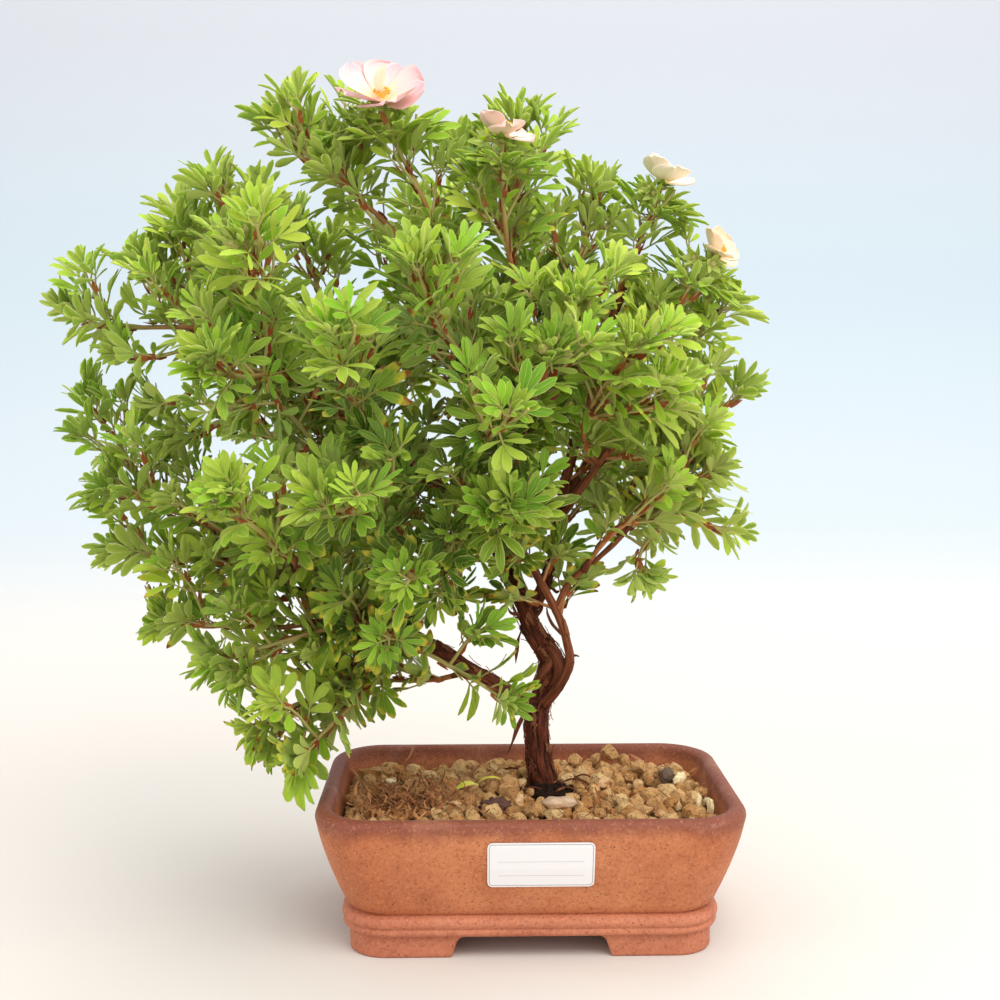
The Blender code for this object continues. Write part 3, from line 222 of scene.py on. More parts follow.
# The trunk and its limbs: points with a radius each.
LIMBS = {
    "trunk": ((7, 8, 55, 5.8), (5, 5, 66, 5.3), (4, 3, 76, 4.9), (4, 2, 84, 4.8), (7, 2, 96, 4.7),
              (10, 0, 108, 5.0), (5, 0, 117, 4.5), (1, 0, 124, 4.1), (-3, 0, 134, 3.8), (-7, 1, 146, 3.5)),
    "left_arm": ((-4, 0.5, 138, 3.0), (-13, 3, 155, 2.8), (-25, 4, 167, 2.6), (-50, 5, 190, 2.3),
                 (-82, 4, 215, 1.9), (-114, 2, 240, 1.5)),
    "left_leader": ((-5, 0.5, 141, 2.8), (-8, 5, 166, 2.6), (-14, 6, 200, 2.2), (-28, 5, 238, 1.9),
                    (-46, 2, 274, 1.5)),
    "middle_leader": ((-10, 5, 178, 2.1), (-5, 9, 205, 1.9), (-2, 10, 232, 1.7), (-1, 9, 259, 1.4)),
    "right_leader": ((0, 0, 127, 2.9), (6, 1, 138, 2.7), (11, 2, 152, 2.6), (13, 3, 166, 2.4),
                     (20, 5, 200, 2.1), (30, 4, 235, 1.8), (39, 2, 262, 1.5)),
    "right_twig": ((11, -9, 130, 1.5), (17, -7, 142, 1.3), (29, -6, 152, 1.2), (40, -6, 163, 1.2),
                   (53, -5, 179, 1.2), (68, -3, 200, 1.1)),
    "low_branch": ((4.5, 1, 87.5, 3.4), (-8, -2, 95, 3.5), (-22, -3, 104, 3.3), (-36, -3, 113, 3.1),
                   (-52, 0, 121, 2.8), (-82, 4, 132, 2.4), (-112, 6, 143, 1.9), (-137, 5, 158, 1.5)),
    "hanging_branch": ((-50, 0, 120, 2.1), (-59, -5, 120, 1.8), (-68, -10, 117, 1.5)),
    "front_left_branch": ((-80, 3, 131, 1.9), (-92, -8, 145, 1.7), (-102, -17, 158, 1.5)),
    "crossing_stem": ((7, -2, 90, 2.2), (12, -5, 97, 2.2), (17, -8, 108, 1.9), (16, -9, 117, 1.8),
                      (13, -9, 127, 1.8), (8, -9, 137, 1.8), (0, -10, 151, 1.7), (-11, -13, 162, 1.7),
                      (-32, -24, 182, 1.6), (-56, -35, 199, 1.4)),
    "front_leader": ((-9, 3, 170, 1.9), (-6, -20, 192, 1.7), (-3, -42, 213, 1.5), (-3, -46, 220, 1.4)),
    "front_low_branch": ((-9, -11.5, 160.5, 1.6), (-18, -24, 164, 1.5), (-28, -37, 169, 1.4)),
    "front_right_branch": ((14, 3, 168, 1.8), (24, -11, 185, 1.6), (31, -22, 197, 1.4)),
    "back_left_branch": ((-26, 4, 168, 2.0), (-46, 25, 190, 1.8), (-76, 44, 216, 1.6), (-92, 48, 231, 1.4)),
    "back_leader": ((-10, 5, 182, 2.0), (-14, 28, 205, 1.8), (-22, 46, 234, 1.6), (-23, 52, 250, 1.4)),
    "back_right_branch": ((14, 3, 172, 2.0), (28, 22, 192, 1.7), (36, 31, 205, 1.5)),
    "back_low_branch": ((-12, 3, 154, 2.0), (-36, 26, 163, 1.7), (-62, 39, 168, 1.5), (-80, 44, 171, 1.4)),
}

# The folded knot where the crossing stem leaves the trunk, and dead stubs: points with a radius each.
KNOTS_AND_STUBS = (
    ((10, -2, 97, 1.2), (12.5, -4.5, 102, 2.3), (13, -5.5, 107, 2.9), (11, -5, 112, 2.6), (8, -3, 115, 1.4)),
    ((3, -3, 98, 1.6), (6, -5, 104, 2.0), (9, -5.5, 108, 1.8), (10, -5, 112, 1.2)),
    ((13.5, -9, 121, 0.8), (10, -10, 125, 0.7), (8, -10.5, 129, 0.6), (7.5, -10.5, 132, 0.3)),
    ((15, -8, 110, 0.9), (19, -9, 112, 0.6), (21, -9, 111.5, 0.2)),
    ((2, -2, 126, 1.0), (5.5, -3, 130, 0.8), (6, -3, 134, 0.3)),
    ((9, 1, 140, 0.8), (12, -1, 137, 0.7), (13, -1.5, 137.5, 0.5)),
    ((-3, -2, 128, 0.9), (-7, -4, 129, 0.6), (-8, -4, 131, 0.2)),
)

# Bark that hangs off the trunk's left side: points with a width each.
HANGING_BARK = (
    ((-2.5, -3.5, 122, 0.6), (-4, -4.5, 118, 1.6), (-4.6, -4.8, 113, 2.2), (-5, -5, 108, 0.3)),
    ((0.5, -3.5, 91, 0.8), (-2, -5, 86, 2.6), (-4, -5.6, 82, 3.4), (-6, -6, 76, 1.6), (-8.5, -6.4, 70, 0.3)),
    ((1.5, -2, 84, 0.8), (-1, -4, 81, 1.2), (-1.6, -4, 76, 0.2)),
)

# The trunk's run into the soil, and the limbs with old bark.
STUMP_PATH = ((7, 9, 43, 7.6), (7, 8.6, 49, 6.7))
OLD_LIMBS = ("low_branch", "left_arm", "left_leader", "right_leader")

# Bark by the wood's age: how far apart its rings are, points in a ring, depth of its ridges, and loose strips
# for each ring.
BARK_BY_AGE = {"trunk": (0.8, 64, 0.95, 1.1), "old": (0.8, 30, 0.5, 0.35), "young": (1.6, 14, 0.16, 0)}

# Shoots: the limb, the tip's place, what the tip bears, the tip of a side stem where the shoot forks, and how
# far its spur is turned round the limb, in degrees, or that it ends the limb. A short row has the usual values.
USUAL_SHOOT = ("leaves", None, 0)
SHOOTS = [(*row, *USUAL_SHOOT[len(row) - 2:]) for row in (
    ("left_arm", (-184, -5, 250)),
    ("low_branch", (-184, 15, 214)),
    ("front_left_branch", (-164, -15, 183)),
    ("low_branch", (-167, 5, 154)),
    ("low_branch", (-146, -10, 126)),
    ("left_arm", (-153, 10, 272), "leaves", (-114, 9, 214)),
    ("left_arm", (-124, -5, 300), "leaves", (-141, 20, 288)),
    ("left_leader", (-100, 5, 329), "leaves", (-83, 25, 321)),
    ("left_leader", (-58, -10, 332), "bloom_1"),
    ("middle_leader", (-3, 4, 327), "leaves", (-24, 22, 318)),
    ("middle_leader", (-11, -25, 316), "bloom_2"),
    ("right_leader", (28, 0, 300)),
    ("right_leader", (54, 0, 302), "bloom_3", None, "end"),
    ("right_leader", (72, -10, 273), "bloom_4"),
    ("right_leader", (82, 12, 254)),
    ("right_twig", (86, 0, 217)),
    ("right_twig", (72, -14, 187), "leaves", (66, 12, 169)),
    ("right_twig", (46, -8, 147)),
    ("left_arm", (-104, -60, 272), "buds"),
    ("front_leader", (5, -75, 233), "buds", (14, -62, 252), -80),
    ("front_leader", (-42, -78, 263), "leaves", (-26, -18, 228)),
    ("crossing_stem", (-70, -90, 239)),
    ("left_arm", (-117, -65, 230), "leaves", (-90, -10, 197)),
    ("front_low_branch", (-75, -82, 180), "leaves", (-64, -12, 180)),
    ("front_leader", (-11, -92, 212), "leaves", None, -40),
    ("front_right_branch", (34, -72, 236), "leaves", (48, -52, 216)),
    ("front_low_branch", (-15, -66, 176)),
    ("front_left_branch", (-113, -72, 179)),
    ("front_low_branch", (-47, -60, 152), "seeds"),
    ("hanging_branch", (-91, -28, 76)),
    ("hanging_branch", (-110, -12, 84)),
    ("low_branch", (-74, 10, 96)),
    ("low_branch", (-123, -25, 114), "leaves", None, 40),
    ("low_branch", (-12, -34, 100)),
    ("back_left_branch", (-147, 60, 258)),
    ("back_left_branch", (-103, 70, 294)),
    ("back_leader", (-48, 80, 304), "leaves", (-49, 27, 259)),
    ("back_leader", (8, 74, 292)),
    ("back_leader", (-59, 97, 240), "leaves", (-58, 34, 226)),
    ("back_right_branch", (54, 64, 258)),
    ("back_right_branch", (14, 92, 226), "leaves", (-1, 26, 204)),
    ("back_right_branch", (48, 56, 184)),
    ("back_low_branch", (-128, 78, 204), "leaves", (-74, 26, 202)),
    ("back_low_branch", (-106, 62, 140), "leaves", (-70, 72, 150)),
)]

# Blooms: the way each faces, its petals' length and width, and how far they stand up from flat, in degrees.
BLOOMS = {
    "bloom_1": ((0.05, -0.60, 0.80), 18.5, 19, 17),
    "bloom_2": ((0.12, -0.12, 0.98), 12, 11, 16),
    "bloom_3": ((0.30, -0.15, 0.94), 12.5, 12, 30),
    "bloom_4": ((0.62, -0.35, 0.70), 10.5, 10, 38),
}


# Surfaces

class Surface:
    """Points and faces of a piece, gathered part by part, with a pattern place and a look at each point."""

    def __init__(self):
        self.points = []
        self.patterns = []
        self.looks = []
        self.faces = []
        self.finishes = []
        self.count = 0

    def add(self, points, faces, pattern, look, finish=0):
        points = np.asarray(points, float)
        self.points.append(points)
        self.patterns.append(np.asarray(pattern, float))
        self.looks.append(np.broadcast_to(np.asarray(look, float), (len(points), 3)))
        first = self.count
        self.faces.extend([first + corner for corner in face] for face in faces)
        self.finishes.extend([finish] * len(faces))
        self.count += len(points)

    def make(self, name, finishes, crease=80):
        """The piece as one object, its faces smooth but for creases over the angle."""
        mesh = bpy.data.meshes.new(name)
        mesh.from_pydata(np.concatenate(self.points).tolist(), [], self.faces)
        pattern = mesh.attributes.new("pattern", "FLOAT_VECTOR", "POINT")
        pattern.data.foreach_set("vector", np.concatenate(self.patterns).ravel())
        look = mesh.attributes.new("look", "FLOAT_VECTOR", "POINT")
        look.data.foreach_set("vector", np.concatenate(self.looks).ravel())
        for finish in finishes:
            mesh.materials.append(finish)
        mesh.polygons.foreach_set("material_index", self.finishes)
        mesh.transform(PLACE)
        mesh.shade_smooth()
        mesh.set_sharp_from_angle(angle=math.radians(crease))
        piece = bpy.data.objects.new(name, mesh)
        bpy.context.scene.collection.objects.link(piece)
        return piece


def declare(piece, slot, *nodes):
    """Give the piece to the root body, with the nodes that it stands for; its slot is not used."""
    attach(piece, "root")
    if nodes:
        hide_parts(*nodes)
    return piece


def frames(points, first=None):
    """A tangent and a side vector at each point of a path, without twist."""
    found = []
    side = None
    for index in range(len(points)):
        before = points[max(index - 1, 0)]
        after = points[min(index + 1, len(points) - 1)]
        along = (after - before).normalized()
        if index == 0 and first is not None:
            along = first
        if side is None:
            side = along.orthogonal().normalized()
        side = (side - along * side.dot(along)).normalized()
        found.append((along, side))
    return found


def clamp(value):
    return max(0.0, min(1.0, value))


def around(along, side, angle):
    """The direction at an angle round a stem, counted from its side vector."""
    return side * math.cos(angle) + along.cross(side) * math.sin(angle)


def fan(axis, angle):
    """A direction at an angle round an axis."""
    return around(axis, axis.orthogonal().normalized(), angle)


def ring_faces(rings, count):
    """Faces between rings of a tube, and its two ends."""
    faces = []
    for ring in range(rings - 1):
        for corner in range(count):
            following = (corner + 1) % count
            low = ring * count
            faces.append((low + corner, low + following, low + count + following, low + count + corner))
    faces.append(tuple(range(count - 1, -1, -1)))
    faces.append(tuple((rings - 1) * count + corner for corner in range(count)))
    return faces


def tube(surface, points, radii, count, look, finish=0, relief=None, shift=None):
    """A tube through the points; its pattern runs round it and along it in millimetres, and may be shifted."""
    places = []
    pattern = []
    walked = 0
    for index, (along, side) in enumerate(frames(points)):
        if index:
            walked += (points[index] - points[index - 1]).length
        across = along.cross(side)
        for step in range(count):
            angle = 2 * math.pi * step / count
            outward = side * math.cos(angle) + across * math.sin(angle)
            radius = radii[index]
            round_trip = (math.cos(angle) * radius, math.sin(angle) * radius, walked)
            if relief:
                radius += relief(angle, walked, radii[index])
            places.append(points[index] + outward * radius)
            pattern.append(round_trip)
    if shift:
        pattern = np.array(pattern) + shift
    surface.add(places, ring_faces(len(points), count), pattern, look, finish)


def smooth_path(path, spacing):
    """Points and radii spaced along a smooth curve through a limb's points."""
    given = [Vector(item) for item in path]
    given = [given[0] * 2 - given[1], *given, given[-1] * 2 - given[-2]]
    points = []
    radii = []
    for before, start, end, after in zip(given, given[1:], given[2:], given[3:]):
        steps = max(int((end - start).length / spacing), 1)
        for step in range(steps):
            t = step / steps
            mixed = (start * 2 + (end - before) * t + (before * 2 - start * 5 + end * 4 - after) * t * t
                     + (start * 3 - before - end * 3 + after) * t ** 3) / 2
            points.append(mixed.xyz)
            radii.append(mixed.w)
    points.append(given[-2].xyz)
    radii.append(given[-2].w)
    return points, radii


# Finishes

def linear(value):
    value /= 255
    return value / 12.92 if value <= 0.04045 else ((value + 0.055) / 1.055) ** 2.4


def paint(red, green, blue):
    """A colour as its 8-bit values in a picture."""
    return (linear(red), linear(green), linear(blue), 1)


class Finish:
    """A surface shader with the nodes that colour it."""

    def __init__(self, name, roughness, specular):
        self.material = bpy.data.materials.new(name)
        self.material.use_nodes = True
        self.tree = self.material.node_tree
        self.shader = self.tree.nodes["Principled BSDF"]
        self.shader.inputs["Roughness"].default_value = roughness
        self.shader.inputs["Specular IOR Level"].default_value = specular

    def node(self, kind, **settings):
        made = self.tree.nodes.new(kind)
        for name, value in settings.items():
            setattr(made, name, value)
        return made

    def put(self, socket, value):
        """Link an output to a socket, or set the socket's own value; three numbers are a paint."""
        if isinstance(value, bpy.types.NodeSocket):
            self.tree.links.new(value, socket)
        else:
            socket.default_value = paint(*value) if isinstance(value, tuple) else value

    def math(self, operation, first, second=0.0, clamp=False):
        made = self.node("ShaderNodeMath", operation=operation, use_clamp=clamp)
        self.put(made.inputs[0], first)
        self.put(made.inputs[1], second)
        return made.outputs[0]

    def times(self, first, second):
        return self.math("MULTIPLY", first, second)

    def plus(self, first, second):
        return self.math("ADD", first, second)

    def minus(self, first, second):
        return self.math("SUBTRACT", first, second)

    def mix(self, part, first, second):
        made = self.node("ShaderNodeMix", data_type="RGBA", blend_type="MIX")
        self.put(made.inputs["Factor"], part)
        self.put(made.inputs[6], first)
        self.put(made.inputs[7], second)
        return made.outputs[2]

    def band(self, value, low, high):
        """0 below low and 1 above high."""
        made = self.node("ShaderNodeMapRange", interpolation_type="SMOOTHSTEP")
        self.put(made.inputs["Value"], value)
        self.put(made.inputs["From Min"], low)
        self.put(made.inputs["From Max"], high)
        return made.outputs[0]

    def split(self, vector):
        """The three numbers of a vector."""
        made = self.node("ShaderNodeSeparateXYZ")
        self.put(made.inputs[0], vector)
        return tuple(made.outputs)

    def read(self, name):
        """The three numbers of an attribute, and the whole of it."""
        vector = self.node("ShaderNodeAttribute", attribute_name=name).outputs["Vector"]
        return (*self.split(vector), vector)

    def place(self):
        return self.node("ShaderNodeTexCoord").outputs["Object"]

    def scaled(self, vector, scale):
        made = self.node("ShaderNodeMapping")
        self.put(made.inputs["Vector"], vector)
        made.inputs["Scale"].default_value = scale
        return made.outputs[0]

    def noise(self, vector, scale, detail=3.0, roughness=0.55):
        made = self.node("ShaderNodeTexNoise")
        self.put(made.inputs["Vector"], vector)
        made.inputs["Scale"].default_value = scale
        made.inputs["Detail"].default_value = detail
        made.inputs["Roughness"].default_value = roughness
        return made.outputs[0]

    def specks(self, vector, scale, size):
        """Small round specks: 1 inside, 0 outside."""
        made = self.node("ShaderNodeTexVoronoi")
        self.put(made.inputs["Vector"], vector)
        made.inputs["Scale"].default_value = scale
        return self.math("LESS_THAN", made.outputs["Distance"], size)

    def layers(self, colour, *layers):
        """Colour the surface with paints laid over the first colour, each with its mask and its strength."""
        for mask, strength, over in layers:
            colour = self.mix(mask if strength == 1 else self.times(mask, strength), colour, over)
        self.put(self.shader.inputs["Base Color"], colour)

    def glow(self, weight, radius, scale):
        """Light that passes through the surface."""
        for name, value in (("Weight", weight), ("Radius", radius), ("Scale", scale)):
            self.shader.inputs["Subsurface " + name].default_value = value

    def bump(self, height, distance, strength=0.5):
        made = self.node("ShaderNodeBump")
        made.inputs["Strength"].default_value = strength
        made.inputs["Distance"].default_value = distance
        self.put(made.inputs["Height"], height)
        self.put(self.shader.inputs["Normal"], made.outputs[0])


def clouded_finish(name):
    """A finish of one cloud, from its dark to its pale paint, with specks where the table has them."""
    shine, stretch, cloud, dark, pale, bump, specks = CLOUDED[name]
    finish = Finish(name, *shine)
    place = finish.place()
    shade = finish.noise(finish.scaled(place, stretch) if stretch else place, *cloud)
    colour = finish.mix(shade, dark, pale)
    finish.layers(colour, *((finish.specks(place, *size), 1, over) for size, over in specks))
    if bump:
        finish.bump(shade, *bump)
    return finish.material


def toned_finish(name):
    """A finish whose tone differs from part to part, between two paints, with fibres of a third."""
    shine, dark, pale, cloud, strength, fibre_paint, bump = TONED[name]
    finish = Finish(name, *shine)
    fibre = finish.noise(finish.place(), *cloud)
    finish.layers(finish.mix(finish.read("look")[0], dark, pale), (fibre, strength, fibre_paint))
    if bump:
        finish.bump(fibre, *bump)
    return finish.material


def pot_finish():
    """Unglazed orange stoneware: darker and redder at the lip and the foot, grainy, with pale smudges."""
    finish = Finish("stoneware", 0.6, 0.35)
    place = finish.place()
    height = finish.split(place)[2]
    cloud = finish.noise(place, 18, 5, 0.6)
    grain = finish.noise(place, 760, 4, 0.75)
    fired = finish.noise(place, 60, 5, 0.65)
    worn = finish.plus(height, finish.times(finish.minus(fired, 0.5), 0.01))
    bloomed = finish.noise(finish.scaled(place, (1, 1, 1.7)), 30, 4, 0.7)
    dusted = finish.times(finish.band(bloomed, 0.54, 0.74), finish.band(worn, 0.044, 0.055))
    finish.layers(
        finish.mix(finish.band(cloud, 0.3, 0.7), (178, 100, 58), (202, 128, 84)),
        (finish.band(fired, 0.4, 0.7), 0.5, (158, 84, 52)),
        (finish.band(worn, 0.049, 0.057), 0.9, (126, 66, 48)),
        (finish.band(worn, 0.0195, 0.0165), 0.5, (188, 114, 90)),
        (dusted, 0.45, (190, 142, 124)),
        (finish.band(finish.noise(place, 26, 2), 0.6, 0.78), 0.3, (204, 146, 112)),
        (finish.band(grain, 0.5, 0.66), 0.5, (118, 58, 38)),
        (finish.band(grain, 0.44, 0.3), 0.4, (224, 152, 110)),
        (finish.specks(place, 360, 0.11), 0.8, (74, 42, 32)),
        (finish.specks(finish.scaled(place, (1.1, 0.9, 1.05)), 520, 0.1), 0.4, (236, 204, 174)))
    finish.bump(finish.plus(grain, finish.times(fired, 2.0)), 0.0004, 0.6)
    return finish.material


def label_finish():
    """A plain white card with a thin grey border line and two faint ruled lines."""
    finish = Finish("label_card", 0.4, 0.4)
    low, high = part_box("label")
    middle = (Vector(low) + Vector(high)) / 2
    place = finish.place()
    x, _, z = finish.split(place)
    across = finish.math("ABSOLUTE", finish.minus(x, middle.x))
    upward = finish.minus(z, middle.z)
    past_x = finish.math("MAXIMUM", finish.minus(across, (high[0] - low[0]) / 2 - LABEL_CORNER))
    past_z = finish.minus(finish.math("ABSOLUTE", upward), (high[2] - low[2]) / 2 - LABEL_CORNER)
    past_z = finish.math("MAXIMUM", past_z)
    squares = finish.plus(finish.times(past_x, past_x), finish.times(past_z, past_z))
    from_line = finish.minus(finish.math("SQRT", squares), LABEL_CORNER - LABEL_LINE_INSET)
    border = finish.math("LESS_THAN", finish.math("ABSOLUTE", from_line), LABEL_LINE / 2)
    fibre = finish.noise(place, 900, 2)
    rules = []
    for offset, reach in LABEL_RULES:
        away = finish.math("ABSOLUTE", finish.minus(upward, offset))
        near = finish.math("LESS_THAN", away, LABEL_RULE_HALF)
        rules.append((finish.times(near, finish.math("LESS_THAN", across, reach)), 0.5, (120, 116, 114)))
    card = finish.mix(finish.times(fibre, 0.12), (234, 232, 232), (219, 216, 215))
    finish.layers(card, *rules, (border, 0.75, (112, 104, 104)))
    finish.bump(fibre, 0.00005, 0.2)
    return finish.material


def granule_finish():
    """Fired ochre clay: each granule has its own tone and a rough skin, painted darker in the pits of its bump
    as painted shade and paler on its raised parts.
    """
    finish = Finish("clay_granule", 0.92, 0.2)
    tone, warmth, damp, _ = finish.read("look")
    place = finish.place()
    rough = finish.noise(place, 620, 6, 0.72)
    gritty = finish.noise(place, 1900, 4, 0.7)
    # Painted shade: where rough and gritty are low, in the bump's pits, the paint is dark; where rough is high,
    # on the raised parts, it is pale.
    finish.layers(
        finish.mix(tone, (192, 135, 78), (254, 214, 152)),
        (warmth, 0.6, (220, 156, 90)),
        (finish.band(gritty, 0.48, 0.34), 0.6, (120, 74, 36)),
        (finish.band(rough, 0.5, 0.32), 1, (104, 64, 34)),
        (finish.band(rough, 0.56, 0.75), 0.5, (236, 202, 152)),
        (damp, 1, (44, 26, 16)))
    finish.bump(finish.plus(rough, finish.times(gritty, 0.6)), 0.0013, 1.0)
    return finish.material


def fallen_finish():
    """A shed leaflet: yellow with a green tinge and a brown speck or two."""
    finish = Finish("shed_leaflet", 0.55, 0.3)
    blotch = finish.noise(finish.place(), 300, 3)
    along = finish.read("pattern")[1]
    finish.layers(finish.mix(along, (190, 192, 62), (226, 212, 84)),
                  (finish.band(blotch, 0.55, 0.75), 0.6, (150, 110, 50)))
    finish.bump(blotch, 0.0002, 0.4)
    return finish.material


def bark_finish():
    """Shaggy bark: long fibres from near black to rust, smoother and redder on young wood."""
    finish = Finish("peeling_bark", 0.85, 0.25)
    youth, lift, _, _ = finish.read("look")
    pattern = finish.read("pattern")[3]
    strips = finish.noise(finish.scaled(pattern, (1, 1, 0.09)), 1.1, 5, 0.65)
    fibres = finish.noise(finish.scaled(pattern, (1, 1, 0.05)), 4.2, 4, 0.6)
    old = finish.mix(finish.band(strips, 0.32, 0.68), (36, 13, 7), (122, 58, 33))
    old = finish.mix(finish.times(finish.band(fibres, 0.52, 0.74), 0.6), old, (156, 98, 64))
    young = finish.mix(finish.band(strips, 0.35, 0.7), (116, 60, 34), (170, 104, 64))
    lifted = finish.math("MULTIPLY", lift, 0.6, clamp=True)
    finish.layers(finish.mix(youth, old, young), (lifted, 1, (156, 102, 68)))
    finish.bump(finish.plus(strips, finish.times(fibres, 0.5)), 0.0011, 0.9)
    return finish.material


def stem_finish():
    """Young stems: tan green at the tip, orange brown where they turn woody."""
    finish = Finish("green_stem", 0.6, 0.35)
    tone, woody, _, _ = finish.read("look")
    streak = finish.noise(finish.scaled(finish.read("pattern")[3], (1, 1, 0.15)), 2.5, 3)
    green = finish.mix(tone, (156, 160, 78), (186, 176, 108))
    brown = finish.mix(streak, (142, 80, 38), (196, 130, 76))
    finish.layers(green, (finish.band(woody, 0.35, 0.8), 1, brown), (streak, 0.3, (178, 140, 92)))
    finish.bump(streak, 0.0002, 0.4)
    return finish.material


def leaf_finish():
    """A leaflet: midrib, fine side veins, pale rim, a pale underside and, on old leaves, a scorched tip."""
    finish = Finish("cinquefoil_leaf", 0.55, 0.2)
    across, along, side, _ = finish.read("pattern")
    # The tone and age read from the look also carry painted light and shade: lit leaves come out younger and
    # lighter, shaded ones older and darker.
    tone, age, scorch, _ = finish.read("look")
    young, grown, old, under = (finish.mix(tone, deep, light) for deep, light in LEAF_PAINTS)
    from_rib = finish.math("ABSOLUTE", finish.minus(across, 0.5))
    slant = finish.minus(finish.times(along, 8.0), finish.times(from_rib, 5.0))
    vein = finish.band(finish.math("SINE", finish.times(slant, 6.283)), 0.7, 1.0)
    upper = finish.mix(finish.band(age, 0.0, 0.45), young, grown)
    upper = finish.mix(finish.band(age, 0.45, 1.0), upper, old)
    upper = finish.mix(finish.times(vein, 0.2), upper, (150, 174, 74))
    under = finish.mix(finish.times(vein, 0.3), under, (176, 188, 118))
    rib = finish.times(finish.band(from_rib, 0.05, 0.02), 0.45)
    patch = finish.noise(finish.place(), 260, 3)
    reach = finish.plus(along, finish.times(finish.minus(patch, 0.5), 0.5))
    reach = finish.plus(reach, finish.times(scorch, 0.5))
    finish.layers(
        finish.mix(finish.band(side, 0.49, 0.51), upper, under),
        (rib, 1, (184, 194, 86)),
        (finish.band(from_rib, 0.4, 0.48), 0.6, (192, 200, 98)),
        (finish.band(reach, 1.0, 1.2), 0.85, (196, 186, 60)),
        (finish.band(reach, 1.22, 1.36), 1, (132, 70, 34)))
    finish.bump(finish.plus(vein, finish.times(rib, -2.0)), 0.0002, 0.4)
    finish.glow(0.45, (0.7, 1.0, 0.2), 0.0012)
    return finish.material


def petal_finish(name, inner, outer, edge):
    """A petal: deeper at the claw, pale in the middle and blushed at the rim, with fine veins."""
    finish = Finish(name, 0.55, 0.3)
    _, along, _, pattern = finish.read("pattern")
    vein = finish.noise(finish.scaled(pattern, (22, 1.6, 1)), 1.0, 3)
    blush = finish.times(finish.band(along, 0.45, 1.05), finish.band(vein, 0.25, 0.6))
    colour = finish.mix(finish.band(along, 0.02, 0.45), inner, outer)
    finish.layers(colour, (blush, 1, edge), (vein, 0.12, outer))
    finish.glow(0.12, (0.004, 0.003, 0.002), 0.5)
    finish.bump(vein, 0.0002, 0.3)
    return finish.material


# Pot

def deselect():
    bpy.ops.object.select_all(action="DESELECT")


def open_piece(name):
    """Name the piece just added, and open it in edit mode with all of it selected."""
    piece = bpy.context.object
    piece.name = name
    bpy.ops.object.mode_set(mode="EDIT")
    bpy.ops.mesh.select_all(action="SELECT")
    return piece


def draw_out(shift, scale):
    """Extrude what is selected, and scale its new end."""
    bpy.ops.mesh.extrude_region_move(TRANSFORM_OT_translate={"value": shift})
    bpy.ops.transform.resize(value=scale)


def close_piece():
    """Turn every face outwards and leave edit mode."""
    bpy.ops.mesh.select_all(action="SELECT")
    bpy.ops.mesh.normals_make_consistent(inside=False)
    bpy.ops.object.mode_set(mode="OBJECT")


def start_plate(name, half_x, half_y, corner, steps, height):
    """A flat plate with rounded corners, left selected in edit mode to be drawn up."""
    deselect()
    bpy.ops.mesh.primitive_plane_add(size=2, location=(0, 0, height))
    bpy.ops.object.transform_apply(location=True)
    plate = open_piece(name)
    bpy.ops.transform.resize(value=(half_x, half_y, 1))
    bpy.ops.mesh.bevel(offset=corner, segments=steps, affect="VERTICES")
    bpy.ops.mesh.select_all(action="SELECT")
    return plate


def draw_up(rows, half_x, half_y):
    """Extrude the selected plate through rows of inset and height, then close the work."""
    for (before, level), (inset, height) in zip(rows, rows[1:]):
        narrower = ((half_x - inset) / (half_x - before), (half_y - inset) / (half_y - before), 1)
        draw_out((0, 0, height - level), narrower)
    close_piece()


def wall_inset(height):
    return WALL_TAPER * (max(SHOULDER_Z - height, 0) / (SHOULDER_Z - MOULDING_TOP_Z)) ** TAPER_POWER


def pot_section():
    """Inset and height from the underside up the outside, over the rim and down the inside."""
    section = [(20, FOOT_HEIGHT + 0.3), *MOULDING]
    section += [(wall_inset(height), height) for height in range(19, 55, 3)]
    for step in range(11):
        turn = math.radians(180 - 18 * step)
        section.append((3.25 + 3.25 * math.cos(turn), 54.4 + 3.6 * math.sin(turn) ** 0.8))
    section += [(WALL + wall_inset(height), height) for height in range(52, 22, -3)]
    return section + [(20.5, FLOOR_Z)]


def pot_body():
    """The moulding, walls, rim and hollow, drawn up from the underside."""
    rows = pot_section()
    inset, height = rows[0]
    body = start_plate("pot_stoneware", POT_HALF_X - inset, POT_HALF_Y - inset, BASE_CORNER, 14, height)
    draw_up(rows, POT_HALF_X, POT_HALF_Y)
    return body


def pick(*pieces):
    """Select these pieces alone, the last of them active."""
    deselect()
    for piece in pieces:
        piece.select_set(True)
    bpy.context.view_layer.objects.active = pieces[-1]


def cut(target, *cutters):
    """Cut each cutter out of the target and throw the cutter away."""
    for cutter in cutters:
        pick(target)
        modifier = target.modifiers.new("cut", "BOOLEAN")
        modifier.object = cutter
        modifier.solver = "EXACT"
        bpy.ops.object.modifier_apply(modifier="cut")
        bpy.data.objects.remove(cutter)


def pot_feet():
    """Four bracket feet: a block hollowed out, with an arched space cut through each side."""
    top = FOOT_HEIGHT + 2
    feet = start_plate("pot_feet", FOOT_HALF_X, FOOT_HALF_Y, FOOT_CORNER, 10, 0)
    draw_up([(0, 0), (0, top)], FOOT_HALF_X, FOOT_HALF_Y)
    half_x = FOOT_HALF_X - FOOT_WIDTH
    half_y = FOOT_HALF_Y - FOOT_WIDTH
    middle = start_plate("middle", half_x, half_y, FOOT_CORNER - 9, 6, -2)
    draw_up([(0, -2), (0, top + 2)], half_x, half_y)
    cut(feet, middle, recess("front_space", FRONT_RECESS, 0), recess("side_space", SIDE_RECESS, 1))
    pick(feet)
    soften = feet.modifiers.new("soften", "BEVEL")
    soften.width = 1.1
    soften.segments = 3
    soften.limit_method = "ANGLE"
    soften.angle_limit = math.radians(40)
    bpy.ops.object.modifier_apply(modifier="soften")
    return feet


